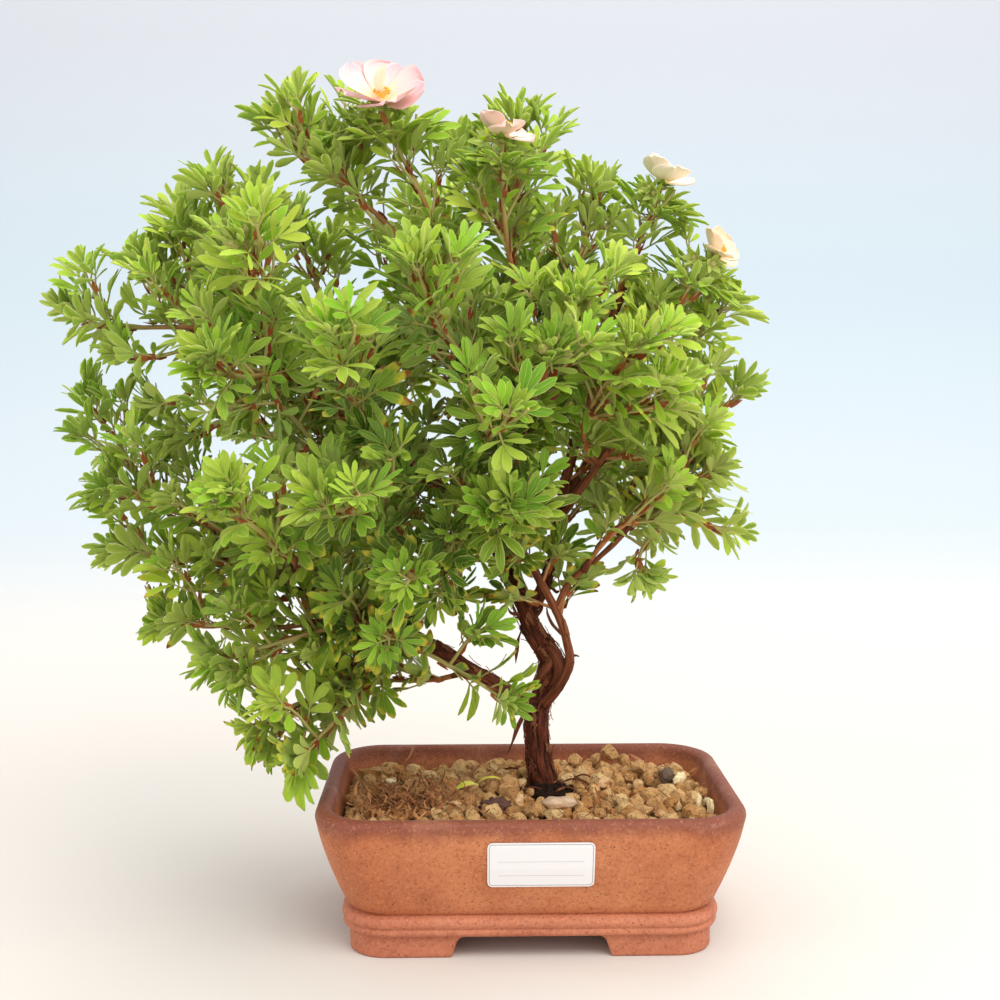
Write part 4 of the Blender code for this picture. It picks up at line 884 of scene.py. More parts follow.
def recess(name, halves, axis):
    """A block with leaning sides and a softened top, as wide as the space between two feet."""
    top_half, foot_half = halves
    arch = FOOT_HEIGHT - 0.4
    deselect()
    bpy.ops.mesh.primitive_cube_add(size=2)
    block = open_piece(name)
    reach = [90, 90, (arch + 2) / 2]
    reach[axis] = foot_half
    bpy.ops.transform.resize(value=reach)
    bpy.ops.transform.translate(value=(0, 0, (arch - 2) / 2))
    choose(block, "FACE", lambda face: face.normal.z > 0.5)
    lean = [1, 1, 1]
    lean[axis] = top_half / foot_half
    bpy.ops.transform.resize(value=lean)
    across = 1 - axis
    choose(block, "EDGE", lambda edge: edge.verts[0].co.z > 0 and edge.verts[1].co.z > 0
           and abs(edge.verts[0].co[across] - edge.verts[1].co[across]) > 1)
    bpy.ops.mesh.bevel(offset=2.6, segments=5, affect="EDGES")
    bpy.ops.object.mode_set(mode="OBJECT")
    return block


def choose(piece, kind, wanted):
    """In edit mode, select the faces or edges for which wanted is true, and nothing else."""
    bpy.ops.mesh.select_mode(type=kind)
    bpy.ops.mesh.select_all(action="DESELECT")
    shape = bmesh.from_edit_mesh(piece.data)
    for item in {"FACE": shape.faces, "EDGE": shape.edges}[kind]:
        item.select = wanted(item)
    shape.select_flush_mode()
    bmesh.update_edit_mesh(piece.data)


def make_pot():
    body = pot_body()
    cut(body, *(drain(side) for side in (-1, 1)))
    feet = pot_feet()
    pick(feet, body)
    bpy.ops.object.join()
    body.data.transform(PLACE)
    body.data.materials.clear()
    body.data.materials.append(pot_finish())
    body.data.shade_smooth()
    body.data.set_sharp_from_angle(angle=math.radians(40))
    declare(body, "pot", "pot")


def drain(side):
    """The round hole in the pot's floor."""
    deselect()
    place = (side * DRAIN_X, 0, 11)
    bpy.ops.mesh.primitive_cylinder_add(vertices=32, radius=DRAIN_RADIUS, depth=20, location=place)
    hole = bpy.context.object
    bpy.ops.object.transform_apply(location=True)
    return hole


# Soil and what lies on it

def ground(x, y):
    spread = ((x - STUMP[0]) / 50) ** 2 + ((y - STUMP[1]) / 34) ** 2
    return SOIL_EDGE_Z + SOIL_MOUND * math.exp(-spread)


def lump(draw):
    """A broken crumb about 1 across: a ball with flats sliced off all round, modelled once and copied."""
    deselect()
    bpy.ops.mesh.primitive_ico_sphere_add(subdivisions=1, radius=0.58)
    open_piece("crumb")
    for _ in range(8):
        flat = Vector((draw.gauss(0, 1), draw.gauss(0, 1), draw.gauss(0, 1))).normalized()
        bpy.ops.mesh.select_all(action="SELECT")
        place = flat * draw.uniform(0.34, 0.44)
        bpy.ops.mesh.bisect(plane_co=place, plane_no=flat, use_fill=True, clear_outer=True)
    bpy.ops.mesh.select_all(action="SELECT")
    bpy.ops.transform.vertex_random(offset=0.03, seed=draw.randint(0, 99))
    close_piece()
    return take_mesh(bpy.context.object)


def take_mesh(piece):
    """The points and faces of a modelled piece, which is then put away."""
    points = np.array([vertex.co[:] for vertex in piece.data.vertices])
    faces = [tuple(face.vertices) for face in piece.data.polygons]
    bpy.data.objects.remove(piece)
    return points, faces


def turned(draw):
    """A random turn."""
    made = Matrix.Rotation(draw.uniform(0, 2 * math.pi), 3, "Z")
    made = made @ Matrix.Rotation(draw.uniform(-math.pi, math.pi), 3, "X")
    return np.array(made @ Matrix.Rotation(draw.uniform(0, 2 * math.pi), 3, "Z"))


def inside_pot(x, y, margin):
    """Whether a place lies on the soil, clear of the wall."""
    inset = WALL + wall_inset(SOIL_EDGE_Z) + margin
    half_x, half_y = POT_HALF_X - inset, POT_HALF_Y - inset
    corner = 13
    over_x = max(abs(x) - half_x + corner, 0)
    over_y = max(abs(y) - half_y + corner, 0)
    return math.hypot(over_x, over_y) < corner


def make_granules():
    """Layers of clay granules strewn over the soil, damp and dark at the stump."""
    draw = random.Random(21)
    lumps = [lump(draw) for _ in range(9)]
    strewn = Surface()
    for pitch, low, high, lift in GRANULE_LAYERS:
        rows = int(POT_HALF_Y / pitch)
        columns = int(POT_HALF_X / pitch)
        for row in range(-rows, rows + 1):
            for column in range(-columns, columns + 1):
                x = (column + 0.5 * (row % 2)) * pitch + draw.uniform(-0.4, 0.4) * pitch
                y = row * pitch + draw.uniform(-0.4, 0.4) * pitch
                size = draw.uniform(low, high)
                behind = math.hypot(x - STUMP[0], y - STUMP[1] + 2)
                near = min(behind, math.hypot(x - STUMP[0] - 4, y + 5) + 1)
                shape = draw.choice(lumps)
                look = (draw.random(), draw.random(), 0)
                if near < 10 or not inside_pot(x, y, size * 0.5):
                    continue
                if near < 16 and draw.random() < 0.6:
                    size *= 0.6
                place = (x, y, ground(x, y) + lift + draw.uniform(-0.5, 0.8))
                add_crumb(strewn, draw, shape, place, size, look)
    for _ in range(DAMP_CRUMBS):
        x = STUMP[0] + draw.gauss(3.5, 5)
        y = draw.gauss(-3.5, 4.5)
        shape = draw.choice(lumps)
        place = (x, y, ground(x, y) + draw.uniform(0.2, 1.6))
        add_crumb(strewn, draw, shape, place, draw.uniform(1.2, 3.2), (0.2, 0.2, 1))
    for x, y, z, size in PROUD_GRANULES:
        add_crumb(strewn, draw, draw.choice(lumps), (x, y, z), size, (0.55, 0.6, 0))
    declare(strewn.make("clay_granules", [granule_finish()], 30), "soil")


def add_crumb(surface, draw, shape, place, size, look):
    points, faces = shape
    stretch = np.array((draw.uniform(0.85, 1.2), draw.uniform(0.85, 1.1), draw.uniform(0.75, 1.0)))
    placed = (points * size * stretch) @ turned(draw).T + place
    surface.add(placed, faces, placed, look)


def strip(surface, points, sides, widths, thickness, look, finish=0):
    """A thin band along points, side giving its flat direction, closed all round."""
    places = []
    pattern = []
    last = len(points) - 1
    for index, (point, side) in enumerate(zip(points, sides)):
        along = points[min(index + 1, last)] - points[max(index - 1, 0)]
        up = side.cross(along).normalized() * thickness / 2
        wide = side * widths[index] / 2
        places += [point - wide, point + up, point + wide, point - up]
        share = index / last
        pattern += [(0, share, 0.5), (0.5, share, 0), (1, share, 0.5), (0.5, share, 1)]
    surface.add(places, ring_faces(len(points), 4), pattern, look, finish)


def curl(surface, draw, start, heading, length, width, look, finish=0):
    """A dry scrap that curls along its length."""
    steps = 4
    point = start.copy()
    heading = heading.normalized()
    side = heading.cross(Vector((0, 0, 1))).normalized()
    side = Matrix.Rotation(draw.uniform(-1, 1), 3, heading) @ side
    turn = draw.uniform(-1.0, 1.0)
    points, sides, widths = [], [], []
    for step in range(steps + 1):
        share = step / steps
        points.append(point.copy())
        sides.append(side)
        widths.append(width * (0.25 + 0.75 * math.sin(math.pi * (0.12 + 0.8 * share))))
        rise = Vector((0, 0, CURL_LIFT * (0.5 - share)))
        heading = (Matrix.Rotation(turn * 0.75, 3, "Z") @ heading + rise).normalized()
        side = Matrix.Rotation(turn * 0.5, 3, heading) @ side
        side = (side - heading * side.dot(heading)).normalized()
        point = point + heading * length / steps
    strip(surface, points, sides, widths, 0.35, look, finish)


def make_litter():
    """Rusty fibres and scraps at the left, and a few over the rest of the soil."""
    draw = random.Random(5)
    scraps = Surface()
    for number in range(SCRAPS_AT_LEFT + SCRAPS_ALL_OVER):
        if number < SCRAPS_AT_LEFT:
            x, y = draw.gauss(-53, 12), draw.gauss(-17, 13)
        else:
            x, y = draw.uniform(-74, 74), draw.uniform(-46, 46)
        if not inside_pot(x, y, 4):
            continue
        start = Vector((x, y, ground(x, y) + draw.uniform(3.0, 6.5)))
        heading = Vector((draw.uniform(-1, 1), draw.uniform(-1, 1), draw.uniform(-0.2, 0.2)))
        curl(scraps, draw, start, heading, draw.uniform(3, 9), draw.uniform(0.4, 1.5), (draw.random(), 0, 0))
    declare(scraps.make("dry_litter", [toned_finish("dry_litter")]), "soil")


def make_roots():
    """Thin dark root loops by the trunk."""
    loops = Surface()
    for centre, radius, tilt, start, end in ROOT_LOOPS:
        points = []
        for step in range(15):
            angle = start + (end - start) * step / 14
            out, up = math.cos(angle) * radius, math.sin(angle) * radius
            points.append(Vector(centre) + Vector((out, up * (1 - tilt) * 0.6, up * tilt - 0.6)))
        tube(loops, points, [0.42] * len(points), 6, (0.3, 0, 0))
    declare(loops.make("root_loops", [bark_finish()]), "wood")


def stone(name, finish, centre, size, turn, seed, slot, *nodes, rough=0.05, waist=0.0):
    """A rounded stone: an icosphere shaped, narrowed at its waist and turned, sitting on the granules."""
    shift = Vector((seed * 3.1, seed, 0))
    deselect()
    bpy.ops.mesh.primitive_ico_sphere_add(subdivisions=4, radius=0.5)
    made = bpy.context.object
    made.name = name
    spin = Matrix.Rotation(math.radians(turn), 3, "Z")
    for vertex in made.data.vertices:
        point = vertex.co.copy()
        swell = 1 + rough * 2 * noise.noise(point * 4 + shift) + rough * noise.noise(point * 11 + shift)
        narrow = 1 - waist * math.exp(-(point.x / 0.16) ** 2)
        shaped = Vector((point.x * size[0], point.y * size[1] * narrow, point.z * size[2] * narrow)) * swell
        vertex.co = spin @ shaped + Vector(centre)
    made.data.transform(PLACE)
    made.data.shade_smooth()
    made.data.materials.append(finish)
    return declare(made, slot, *nodes)


def middle_of(node):
    """The middle of a node's box, in the numbers used here."""
    low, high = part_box(node)
    return PLACE.inverted() @ ((Vector(low) + Vector(high)) / 2)


def make_stones():
    for name, kind, node, shift, size, turn, seed, slot, rough, waist in STONES:
        centre = middle_of(node) + Vector(shift) if node else shift
        nodes = (node,) if node else ()
        stone(name, clouded_finish(kind), centre, size, turn, seed, slot, *nodes, rough=rough, waist=waist)
    for kind, flakes in (("cream_flake", CREAM_FLAKES), ("tan_flake", TAN_FLAKES)):
        finish = clouded_finish(kind)
        for number, (x, y, z, wide, tall) in enumerate(flakes, start=1):
            size = (wide, wide * FLAKE_THICKNESS, tall)
            stone("%s_%d" % (kind, number), finish, (x, y, z), size, 37 * number, 20 + number, "pebble",
                  rough=FLAKE_ROUGHNESS)


def make_fallen_leaf():
    """A yellow leaflet lying on the granules, and the curl of another beside it."""
    fallen = Surface()
    lying, hoop = [], []
    for step in range(9):
        share = step / 8
        lying.append(Vector((-29.5 + 9 * share, -9 + 5.5 * share, 56.4 + 1.6 * math.sin(math.pi * share))))
        angle = math.radians(178 - 172 * share)
        hoop.append(Vector((-15.5 + 5.2 * math.cos(angle), -2 + 1.5 * share, 56.5 + 2.6 * math.sin(angle))))
    for path, wide, out in ((lying, 3.4, Vector((-0.5, 0.8, 0.3))), (hoop, 1.3, Vector((0.1, 1, 0.5)))):
        widths = [wide * math.sin(math.pi * (0.1 + 0.8 * step / 8)) for step in range(9)]
        strip(fallen, path, [out.normalized()] * 9, widths, 0.35, (0.9, 0.0, 0.0))
    declare(fallen.make("fallen_leaflet", [fallen_finish()]), "leaf")


# Wood

def limb_point(limb, part):
    """The place, direction and radius at a part of the way along a limb."""
    path = LIMBS[limb]
    position = part * (len(path) - 1)
    index = min(int(position), len(path) - 2)
    share = position - index
    start = Vector(path[index][:3])
    end = Vector(path[index + 1][:3])
    radius = path[index][3] * (1 - share) + path[index + 1][3] * share
    return start.lerp(end, share), (end - start).normalized(), radius


def bark_relief(seed, depth):
    """Long ridges and furrows that follow the wood."""
    def relief(angle, walked, radius):
        turn = angle + walked * 0.014
        spot = Vector((math.cos(turn) * radius * 0.4 + seed, math.sin(turn) * radius * 0.4, walked * 0.05))
        ridge = 1 - abs(noise.noise(spot)) * 3.0
        fine = 1 - abs(noise.noise(spot * 2.7 + Vector((9, 4, 0)))) * 3.0
        ragged = noise.noise(Vector((spot.x * 6, spot.y * 6, walked * 0.6)))
        swell = noise.noise(Vector((seed, math.cos(turn) * 0.8, walked * 0.08)))
        return depth * (ridge * 0.6 + fine * 0.4 - 0.55 + ragged * 0.35 + swell * 0.9)
    return relief


def loose_bark(surface, draw, points, radii, amount):
    """Strips of bark that lift from the wood at one end."""
    walk = frames(points)
    for _ in range(amount):
        first = draw.randrange(2, max(len(points) - 8, 3))
        span = draw.randrange(5, 14)
        angle = draw.uniform(0, 2 * math.pi)
        width = draw.uniform(0.6, 2.2)
        peel = draw.uniform(0.2, 1.2) if draw.random() < 0.8 else draw.uniform(1.5, 3.2)
        heads_up = draw.random() < 0.5
        band, sides, widths = [], [], []
        chosen = range(first, min(first + span, len(points)))
        for order, index in enumerate(chosen):
            share = order / max(len(chosen) - 1, 1)
            lifted = (share if heads_up else 1 - share) ** 2.5 * peel
            along, side = walk[index]
            turn = angle + order * draw.uniform(-0.03, 0.03)
            outward = around(along, side, turn)
            band.append(points[index] + outward * (radii[index] * 1.04 + 0.15 + lifted))
            sides.append(along.cross(outward))
            widths.append(width * (1.0 - 0.85 * (share if heads_up else 1 - share) ** 3))
        if len(band) > 3:
            strip(surface, band, sides, widths, 0.3, (draw.uniform(0, 0.6), draw.uniform(-0.4, 1), 0))


def make_wood():
    """Trunk and limbs with ridged, peeling bark; the smooth young limbs are redder."""
    draw = random.Random(3)
    wood = Surface()
    for number, (name, path) in enumerate(LIMBS.items()):
        if name == "trunk":
            path = STUMP_PATH + path
        age = "trunk" if name == "trunk" else "old" if name in OLD_LIMBS else "young"
        spacing, count, depth, strips = BARK_BY_AGE[age]
        points, radii = smooth_path(path, spacing)
        youth = [clamp((2.6 - radius) / 1.1) for radius in radii]
        looks = [(value, 0, 0) for value in youth for _ in range(count)]
        shift = (number * 13.0, 0, number * 31.0)
        tube(wood, points, radii, count, looks, 0, bark_relief(number * 7.3, depth), shift)
        if age != "young":
            loose_bark(wood, draw, points, radii, int(len(points) * strips))
        elif path[0][3] > 1.6:
            loose_bark(wood, draw, points, radii, len(points) // 12)
    for number, (start, end) in enumerate(SURFACE_ROOTS):
        middle = Vector(start).lerp(Vector(end), 0.5)
        points, radii = smooth_path(((*start, 3.0), (*middle, 2.0), (*end, 0.9)), 1.2)
        tube(wood, points, radii, 12, (0.1, 0, 0), 0, bark_relief(number * 3.7 + 50, 0.3))
    for number, path in enumerate(KNOTS_AND_STUBS):
        points, radii = smooth_path(path, 0.8)
        tube(wood, points, radii, 16, (0.2, 0.15, 0), 0, bark_relief(number * 5.1 + 80, path[1][3] * 0.2))
    flat = Vector((0.85, 0.4, 0.3)).normalized()
    for path in HANGING_BARK:
        points = [Vector(item[:3]) for item in path]
        strip(wood, points, [flat] * len(path), [item[3] for item in path], 0.5, (0, 0, 0))
    return wood


# Leafy shoots

def seat(limb, tip, turn):
    """The spur that carries a shoot: its root on the limb, its end and its direction."""
    if turn == "end":
        place, along, _ = limb_point(limb, 1)
        direction = (along + (tip - place).normalized()).normalized()
        return place, place + direction * SPUR_LENGTH, direction
    best = None
    for step in range(SEAT_STEPS + 1):
        part = FIRST_SEAT + (1 - FIRST_SEAT) * step / SEAT_STEPS
        place, along, radius = limb_point(limb, part)
        reach = (tip - place).length
        cost = abs(reach - SHOOT_LENGTH) - 12 * along.dot((tip - place).normalized())
        if best is None or cost < best[0]:
            best = (cost, part, place, along, radius)
    _, part, place, along, radius = best
    if part == 1:
        return seat(limb, tip, "end")
    heading = (tip - place).normalized()
    outward = (heading - along * heading.dot(along) + Vector((0, 0, 0.15))).normalized()
    turned_out = Matrix.Rotation(math.radians(turn), 3, along) @ outward
    direction = (along * 0.5 + turned_out).normalized()
    return place, place + direction * (radius * 1.15 + SPUR_LENGTH), direction


class Stem:
    """A cubic curve from its root to its tip, turned outward and up at its end."""

    def __init__(self, name, root, direction, tip, shares=LEAF_SHARES):
        reach = (tip - root).length
        outward = (tip - CROWN_HEART).normalized()
        ending = (outward + (tip - root).normalized() + Vector((0, 0, 0.5))).normalized()
        self.name = name
        self.direction = direction
        self.bends = (root, root + direction * reach * 0.36, tip - ending * reach * 0.3, tip)
        self.shares = shares
        self.path = [self.at(share) for share in shares]
        self.length = reach

    def at(self, share):
        rest = 1 - share
        root, lean, bow, tip = self.bends
        return root * rest ** 3 + lean * 3 * rest ** 2 * share + bow * 3 * rest * share ** 2 + tip * share ** 3

    def along(self, share):
        """The stem's direction at a share of its length."""
        return (self.at(min(share + 0.02, 1)) - self.at(max(share - 0.02, 0))).normalized()


# The buds that stand beside a bloom: which way each points.
BUDS_BY_BLOOM = {
    "bloom_1": ((0.8, -0.2, 0.1), (0.75, 0.5, 0.25)),
    "bloom_2": ((-0.7, -0.3, 0.4),),
    "bloom_3": ((-0.9, -0.2, 0.25), (-0.7, -0.7, 0.15), (-0.95, -0.3, -0.25), (-0.5, -0.85, -0.15)),
    "bloom_4": ((0.2, -0.85, -0.2), (-0.7, -0.6, 0.1)),
}

# Leafy sprays that fill the crown at the left: the limb each grows from, how far along it, and its tip.
FILLING = (("left_arm", 1.0, (-160, -10, 235)), ("left_arm", 1.0, (-150, -2, 214)),
           ("left_arm", 0.9, (-136, -12, 203)), ("left_leader", 0.95, (-74, -6, 306)))

# Old leafy twigs inside the crown, by limb, and how near the trunk the low branch stays bare.
INNER_TWIGS = {"left_arm": 15, "left_leader": 13, "middle_leader": 9, "right_leader": 8, "right_twig": 2,
               "low_branch": 14, "hanging_branch": 4, "front_left_branch": 5, "crossing_stem": 9,
               "front_leader": 6, "front_low_branch": 4, "front_right_branch": 3, "back_left_branch": 8,
               "back_leader": 7, "back_right_branch": 4, "back_low_branch": 8}
BARE_BRANCH_X = -45

# Shares of a sepal's full width, from its foot to its point.
SEPAL_WIDTHS = (0.55, 0.95, 1.0, 0.8, 0.45, 0.08)

# Rows of a leaflet: share of its length, and share of its full width.
LEAFLET_ROWS = ((0.0, 0.07), (0.3, 0.58), (0.62, 1.0), (0.87, 0.82), (1.0, 0.2))

# Leaflets by count: where each leaves the midline, its turn as a share of the leaf's spread, and its length.
PATTERNS = {
    1: ((3.0, 0.0, 1.0),),
    3: ((1.4, -0.62, 0.88), (3.0, 0.0, 1.0), (1.4, 0.62, 0.88)),
    5: ((-0.6, -1.08, 0.8), (2.2, -0.52, 0.94), (3.0, 0.0, 1.0), (2.2, 0.52, 0.94), (-0.6, 1.08, 0.8)),
    7: ((-2.6, -1.1, 0.6), (-0.4, -0.95, 0.78), (2.4, -0.48, 0.92), (3.2, 0.0, 0.96), (2.4, 0.48, 0.92),
        (-0.4, 0.95, 0.78), (-2.6, 1.1, 0.6)),
}


def model_leaflet():
    """One leaflet, drawn out row by row from a flat four-sided loop, 1 long and 2 wide."""
    deselect()
    bpy.ops.mesh.primitive_circle_add(vertices=4, radius=1, fill_type="NGON", rotation=(math.pi / 2, 0, 0))
    bpy.ops.object.transform_apply(location=False, rotation=True, scale=False)
    leaflet = open_piece("leaflet")
    bpy.ops.transform.resize(value=(LEAFLET_ROWS[0][1], 1, 1))
    for (before, width), (share, wider) in zip(LEAFLET_ROWS, LEAFLET_ROWS[1:]):
        draw_out((0, share - before, 0), (wider / width, 1, 1))
    close_piece()
    return take_mesh(leaflet)


LEAFLET_POINTS, LEAFLET_FACES = model_leaflet()
LEAFLET_PATTERN = np.stack((0.5 + 0.5 * np.sign(np.round(LEAFLET_POINTS[:, 0], 3)), LEAFLET_POINTS[:, 1],
                            0.5 - 0.5 * np.sign(np.round(LEAFLET_POINTS[:, 2], 3))), 1)
LEAFLET_UNDER = np.maximum(-LEAFLET_POINTS[:, 2], 0)


def leaf_points(draw, spec):
    """Points of all leaflets in the leaf's own axes: x across, y forward, z up."""
    leaflets = []
    for start, off, reach in PATTERNS[spec["count"]]:
        turn = math.radians(spec["spread"] * off + draw.uniform(-10, 10))
        length = LEAFLET_LENGTH * spec["size"] * reach * draw.uniform(0.84, 1.06)
        wide = LEAFLET_HALF_WIDTH * spec["size"] * spec.get("broad", 1.0) * draw.uniform(0.85, 1.1)
        fold = spec["fold"] + draw.uniform(-0.15, 0.15)
        bend = draw.uniform(-0.006, 0.012) + spec["curl"] * 0.5
        sway = draw.uniform(-1.2, 1.2)
        lift = draw.uniform(-0.12, 0.16)
        twist = draw.uniform(-0.45, 0.45)
        offset = LEAFLET_POINTS[:, 0] * wide
        forward = LEAFLET_POINTS[:, 1] * length
        x_in = offset * math.cos(twist) + sway * LEAFLET_POINTS[:, 1] ** 2
        x = math.cos(turn) * x_in - math.sin(turn) * forward
        y = start * spec["size"] + math.sin(turn) * x_in + math.cos(turn) * forward
        z = spec["cup"] * np.abs(x) - spec["curl"] * (x * x + y * y) - bend * forward * forward
        z += fold * np.abs(offset) + lift * forward + math.sin(twist) * offset
        z -= LEAF_THICKNESS * LEAFLET_UNDER
        leaflets.append(np.stack((x, y, z), 1))
    return np.concatenate(leaflets)


def leaf_faces(count):
    faces = []
    for number in range(count):
        first = number * len(LEAFLET_POINTS)
        faces += [tuple(corner + first for corner in face) for face in LEAFLET_FACES]
    return faces


FACES_OF_LEAF = {count: leaf_faces(count) for count in PATTERNS}
PATTERN_OF_LEAF = {count: np.tile(LEAFLET_PATTERN, (count, 1)) for count in PATTERNS}


def grow_leaf(surface, draw, foot, along, outward, spec):
    """Put a leaf with its petiole on a stem."""
    lean = math.radians(spec["lean"])
    forward = along * math.cos(lean) + outward * math.sin(lean) + Vector((0, 0, spec.get("rise", 0.12)))
    forward.normalize()
    right = outward.cross(along)
    right = (right - forward * right.dot(forward)).normalized()
    up = right.cross(forward)
    roll = math.radians(spec["roll"])
    right, up = right * math.cos(roll) + up * math.sin(roll), up * math.cos(roll) - right * math.sin(roll)
    neck = foot + forward * PETIOLE * spec["size"]
    placed = np.array(neck) + leaf_points(draw, spec) @ np.array((right, forward, up))
    if not fits_inside(placed) or hides_bloom(placed):
        return False
    surface.add(placed, FACES_OF_LEAF[spec["count"]], PATTERN_OF_LEAF[spec["count"]], spec["look"])
    sag = up * -0.05 * PETIOLE
    petiole = [foot - outward * 0.4, foot.lerp(neck, 0.5) + sag, neck + forward * 3.4 * spec["size"]]
    tube(surface, petiole, [0.5, 0.4, 0.42], 3, (spec["look"][0], 0.1, 0), 1)
    return True


def fits_inside(placed):
    """Whether the points stay inside the solids' box, with a little to spare."""
    low = placed.min(0)
    high = placed.max(0)
    return bool((low > LEAF_LIMITS[0]).all() and (high < LEAF_LIMITS[1]).all())


def hides_bloom(placed):
    """Whether a leaf stands over a bloom, or in front of it."""
    for centre, facing, radius in BLOOM_PLACES:
        away = placed - centre
        over = away @ facing
        apart = np.linalg.norm(away - np.outer(over, facing), axis=1)
        if ((over > 1.5) & (over < radius * 1.3) & (apart < radius * 1.15)).any():
            return True
        level = np.hypot(away[:, 0], away[:, 2])
        if ((away[:, 1] < 0) & (level < radius * 1.1) & (away[:, 2] > -1)).any():
            return True
    return False


def bloom_foot(name):
    """Where a bloom sits, just past its stem's tip."""
    limb, tip, _, _, turn = next(row for row in SHOOTS if row[2] == name)
    tip = Vector(tip)
    _, end, direction = seat(limb, tip, turn)
    stem = Stem(name, end + direction * GAP, direction, tip)
    return tip + frames(stem.path)[-1][0] * 2


def bloom_places():
    """The centre, facing and petal length of each bloom."""
    return [(np.array(bloom_foot(name)), np.array(Vector(facing).normalized()), length)
            for name, (facing, length, _, _) in BLOOMS.items()]


BLOOM_PLACES = bloom_places()
inverse_place = PLACE.inverted()
LEAF_LIMITS = (np.array(inverse_place @ Vector(cad_box[0])) - LEAF_OVERHANG,
               np.array(inverse_place @ Vector(cad_box[1])) + LEAF_OVERHANG)


def held(draw, lean, size, **ranges):
    """How a leaf is held: its lean in degrees, its size, and a draw from each range that is given."""
    spec = {name: draw.uniform(*limits) for name, limits in ranges.items()}
    spec.update(lean=lean, size=size)
    return spec


def cad_leaf(name, index, share):
    """How the leaf that the solid shoot has at this point is held."""
    draw = random.Random("%s leaf %d" % (name, index))
    spec = held(draw, 76 - 44 * share + draw.uniform(-8, 8), (1.06 - 0.14 * share) * draw.uniform(0.92, 1.05),
                roll=(-14, 14), curl=(0.002, 0.012), cup=(-0.05, 0.22))
    spec["spread"] = 68 - 18 * share
    return spec


def lowness(place):
    """From 0 high in the crown to 1 near the pot, where the leaves are broader."""
    return clamp((185 - place.z) / 90)


def breadth(place):
    return 1 + 0.4 * lowness(place)


def leaf_look(draw, place, youth):
    """Tone, age and scorch: leaves low and deep in the crown are older, tips are young; painted light makes
    leaves at the right, the top and the low left younger and lighter, and painted shade makes those in the
    crown's middle older and darker.
    """
    deep = 1 - min((place - CROWN_HEART).length / 125, 1)
    low = lowness(place)
    # Painted light: sunny is highest at the right, the top and the low left. Painted shade: shaded is highest
    # below the top in the crown's middle.
    sunny = 1.4 * clamp((place.x - 5) / 50) + clamp((place.z - 245) / 50)
    sunny += 0.8 * low * clamp((-50 - place.x) / 40)
    shaded = clamp((245 - place.z) / 30) * max(0.0, 1 - abs(place.x + 35) / 60)
    age = clamp(0.5 + 0.5 * deep + 0.35 * shaded - 0.55 * youth - 0.4 * sunny + draw.uniform(-0.3, 0.3))
    scorch = 0.0
    if draw.random() < 0.12 + 0.4 * low + 0.3 * deep - 0.4 * youth:
        scorch = draw.uniform(0.3, 0.85)
    # Painted light also lightens the tone.
    return (min(1.0, draw.random() + 0.25 * sunny), age, scorch)


def dress_stem(surface, draw, stem, youth, first_index, tuft):
    """Leaves, sheaths and a tip tuft along one stem."""
    walk = frames(stem.path, stem.direction)
    for index in range(first_index, len(stem.path) - 1):
        along, side = walk[index]
        wanted = math.radians(GOLDEN_ANGLE * index)
        outward = around(along, side, wanted)
        share = index / (len(stem.path) - 1)
        spec = cad_leaf(stem.name, index, share)
        spec.update(count=5, fold=draw.uniform(0.05, 0.45), broad=breadth(stem.path[index]),
                    look=leaf_look(draw, stem.path[index], youth * share))
        grow_leaf(surface, draw, stem.path[index] + outward * 0.6, along, outward, spec)
        add_sheath(surface, draw, stem.path[index], along, outward)
    between = []
    for share, following in zip(stem.shares[1:], stem.shares[2:]):
        between.append((share + following) / 2)
    for number, share in enumerate([0.1, 0.2, 0.28, *between, 0.955]):
        loose_leaf(surface, draw, stem, share, number * GOLDEN_ANGLE + 60, youth)
    for number in range(tuft):
        tuft_leaf(surface, draw, stem, number, youth)


def loose_leaf(surface, draw, stem, share, angle, youth):
    """A leaf between those that the solid shoot has."""
    along = stem.along(share)
    outward = fan(along, math.radians(angle + draw.uniform(-20, 20)))
    size = (1.0 - 0.2 * share) * draw.uniform(0.78, 1.02)
    spec = held(draw, 62 - 30 * share + draw.uniform(-14, 14), size,
                roll=(-30, 30), curl=(-0.002, 0.012), cup=(-0.05, 0.25), spread=(46, 76))
    spec.update(count=draw.choice((5, 5, 5, 5, 3)), fold=draw.uniform(0.05, 0.5),
                look=leaf_look(draw, stem.at(share), youth * share), rise=draw.uniform(0.1, 0.6),
                broad=breadth(stem.at(share)))
    foot = stem.at(share) + outward * 0.6
    if grow_leaf(surface, draw, foot, along, outward, spec):
        add_sheath(surface, draw, foot, along, outward)


def tuft_leaf(surface, draw, stem, number, youth):
    """One of the small upright leaves round a stem's growing tip."""
    along = stem.along(1)
    outward = fan(along, math.radians(number * GOLDEN_ANGLE + draw.uniform(-15, 15)))
    inner = number / 7
    spec = held(draw, 48 - 30 * inner + draw.uniform(-8, 8), draw.uniform(0.62, 0.8) - 0.22 * inner,
                roll=(-15, 15), curl=(0.0, 0.01), cup=(0.05, 0.3), spread=(36, 62), fold=(0.2, 0.7))
    spec.update(count=5 if inner < 0.5 else 3, look=leaf_look(draw, stem.at(1), youth),
                rise=draw.uniform(0.1, 0.5))
    grow_leaf(surface, draw, stem.at(1) - along * 1.5 * (1 - inner), along, outward, spec)


def add_sheath(surface, draw, place, along, outward):
    """The papery brown sheath at a leaf's foot, clasping the stem."""
    side = along.cross(outward)
    points, sides, widths = [], [], []
    for step in range(3):
        share = step / 2
        points.append(place + along * (5.4 * share - 1.2) + outward * (0.8 + 0.8 * share * share))
        sides.append(side)
        widths.append((2.2, 2.8, 0.4)[step])
    strip(surface, points, sides, widths, 0.3, (draw.random(), 0, 0), 2)


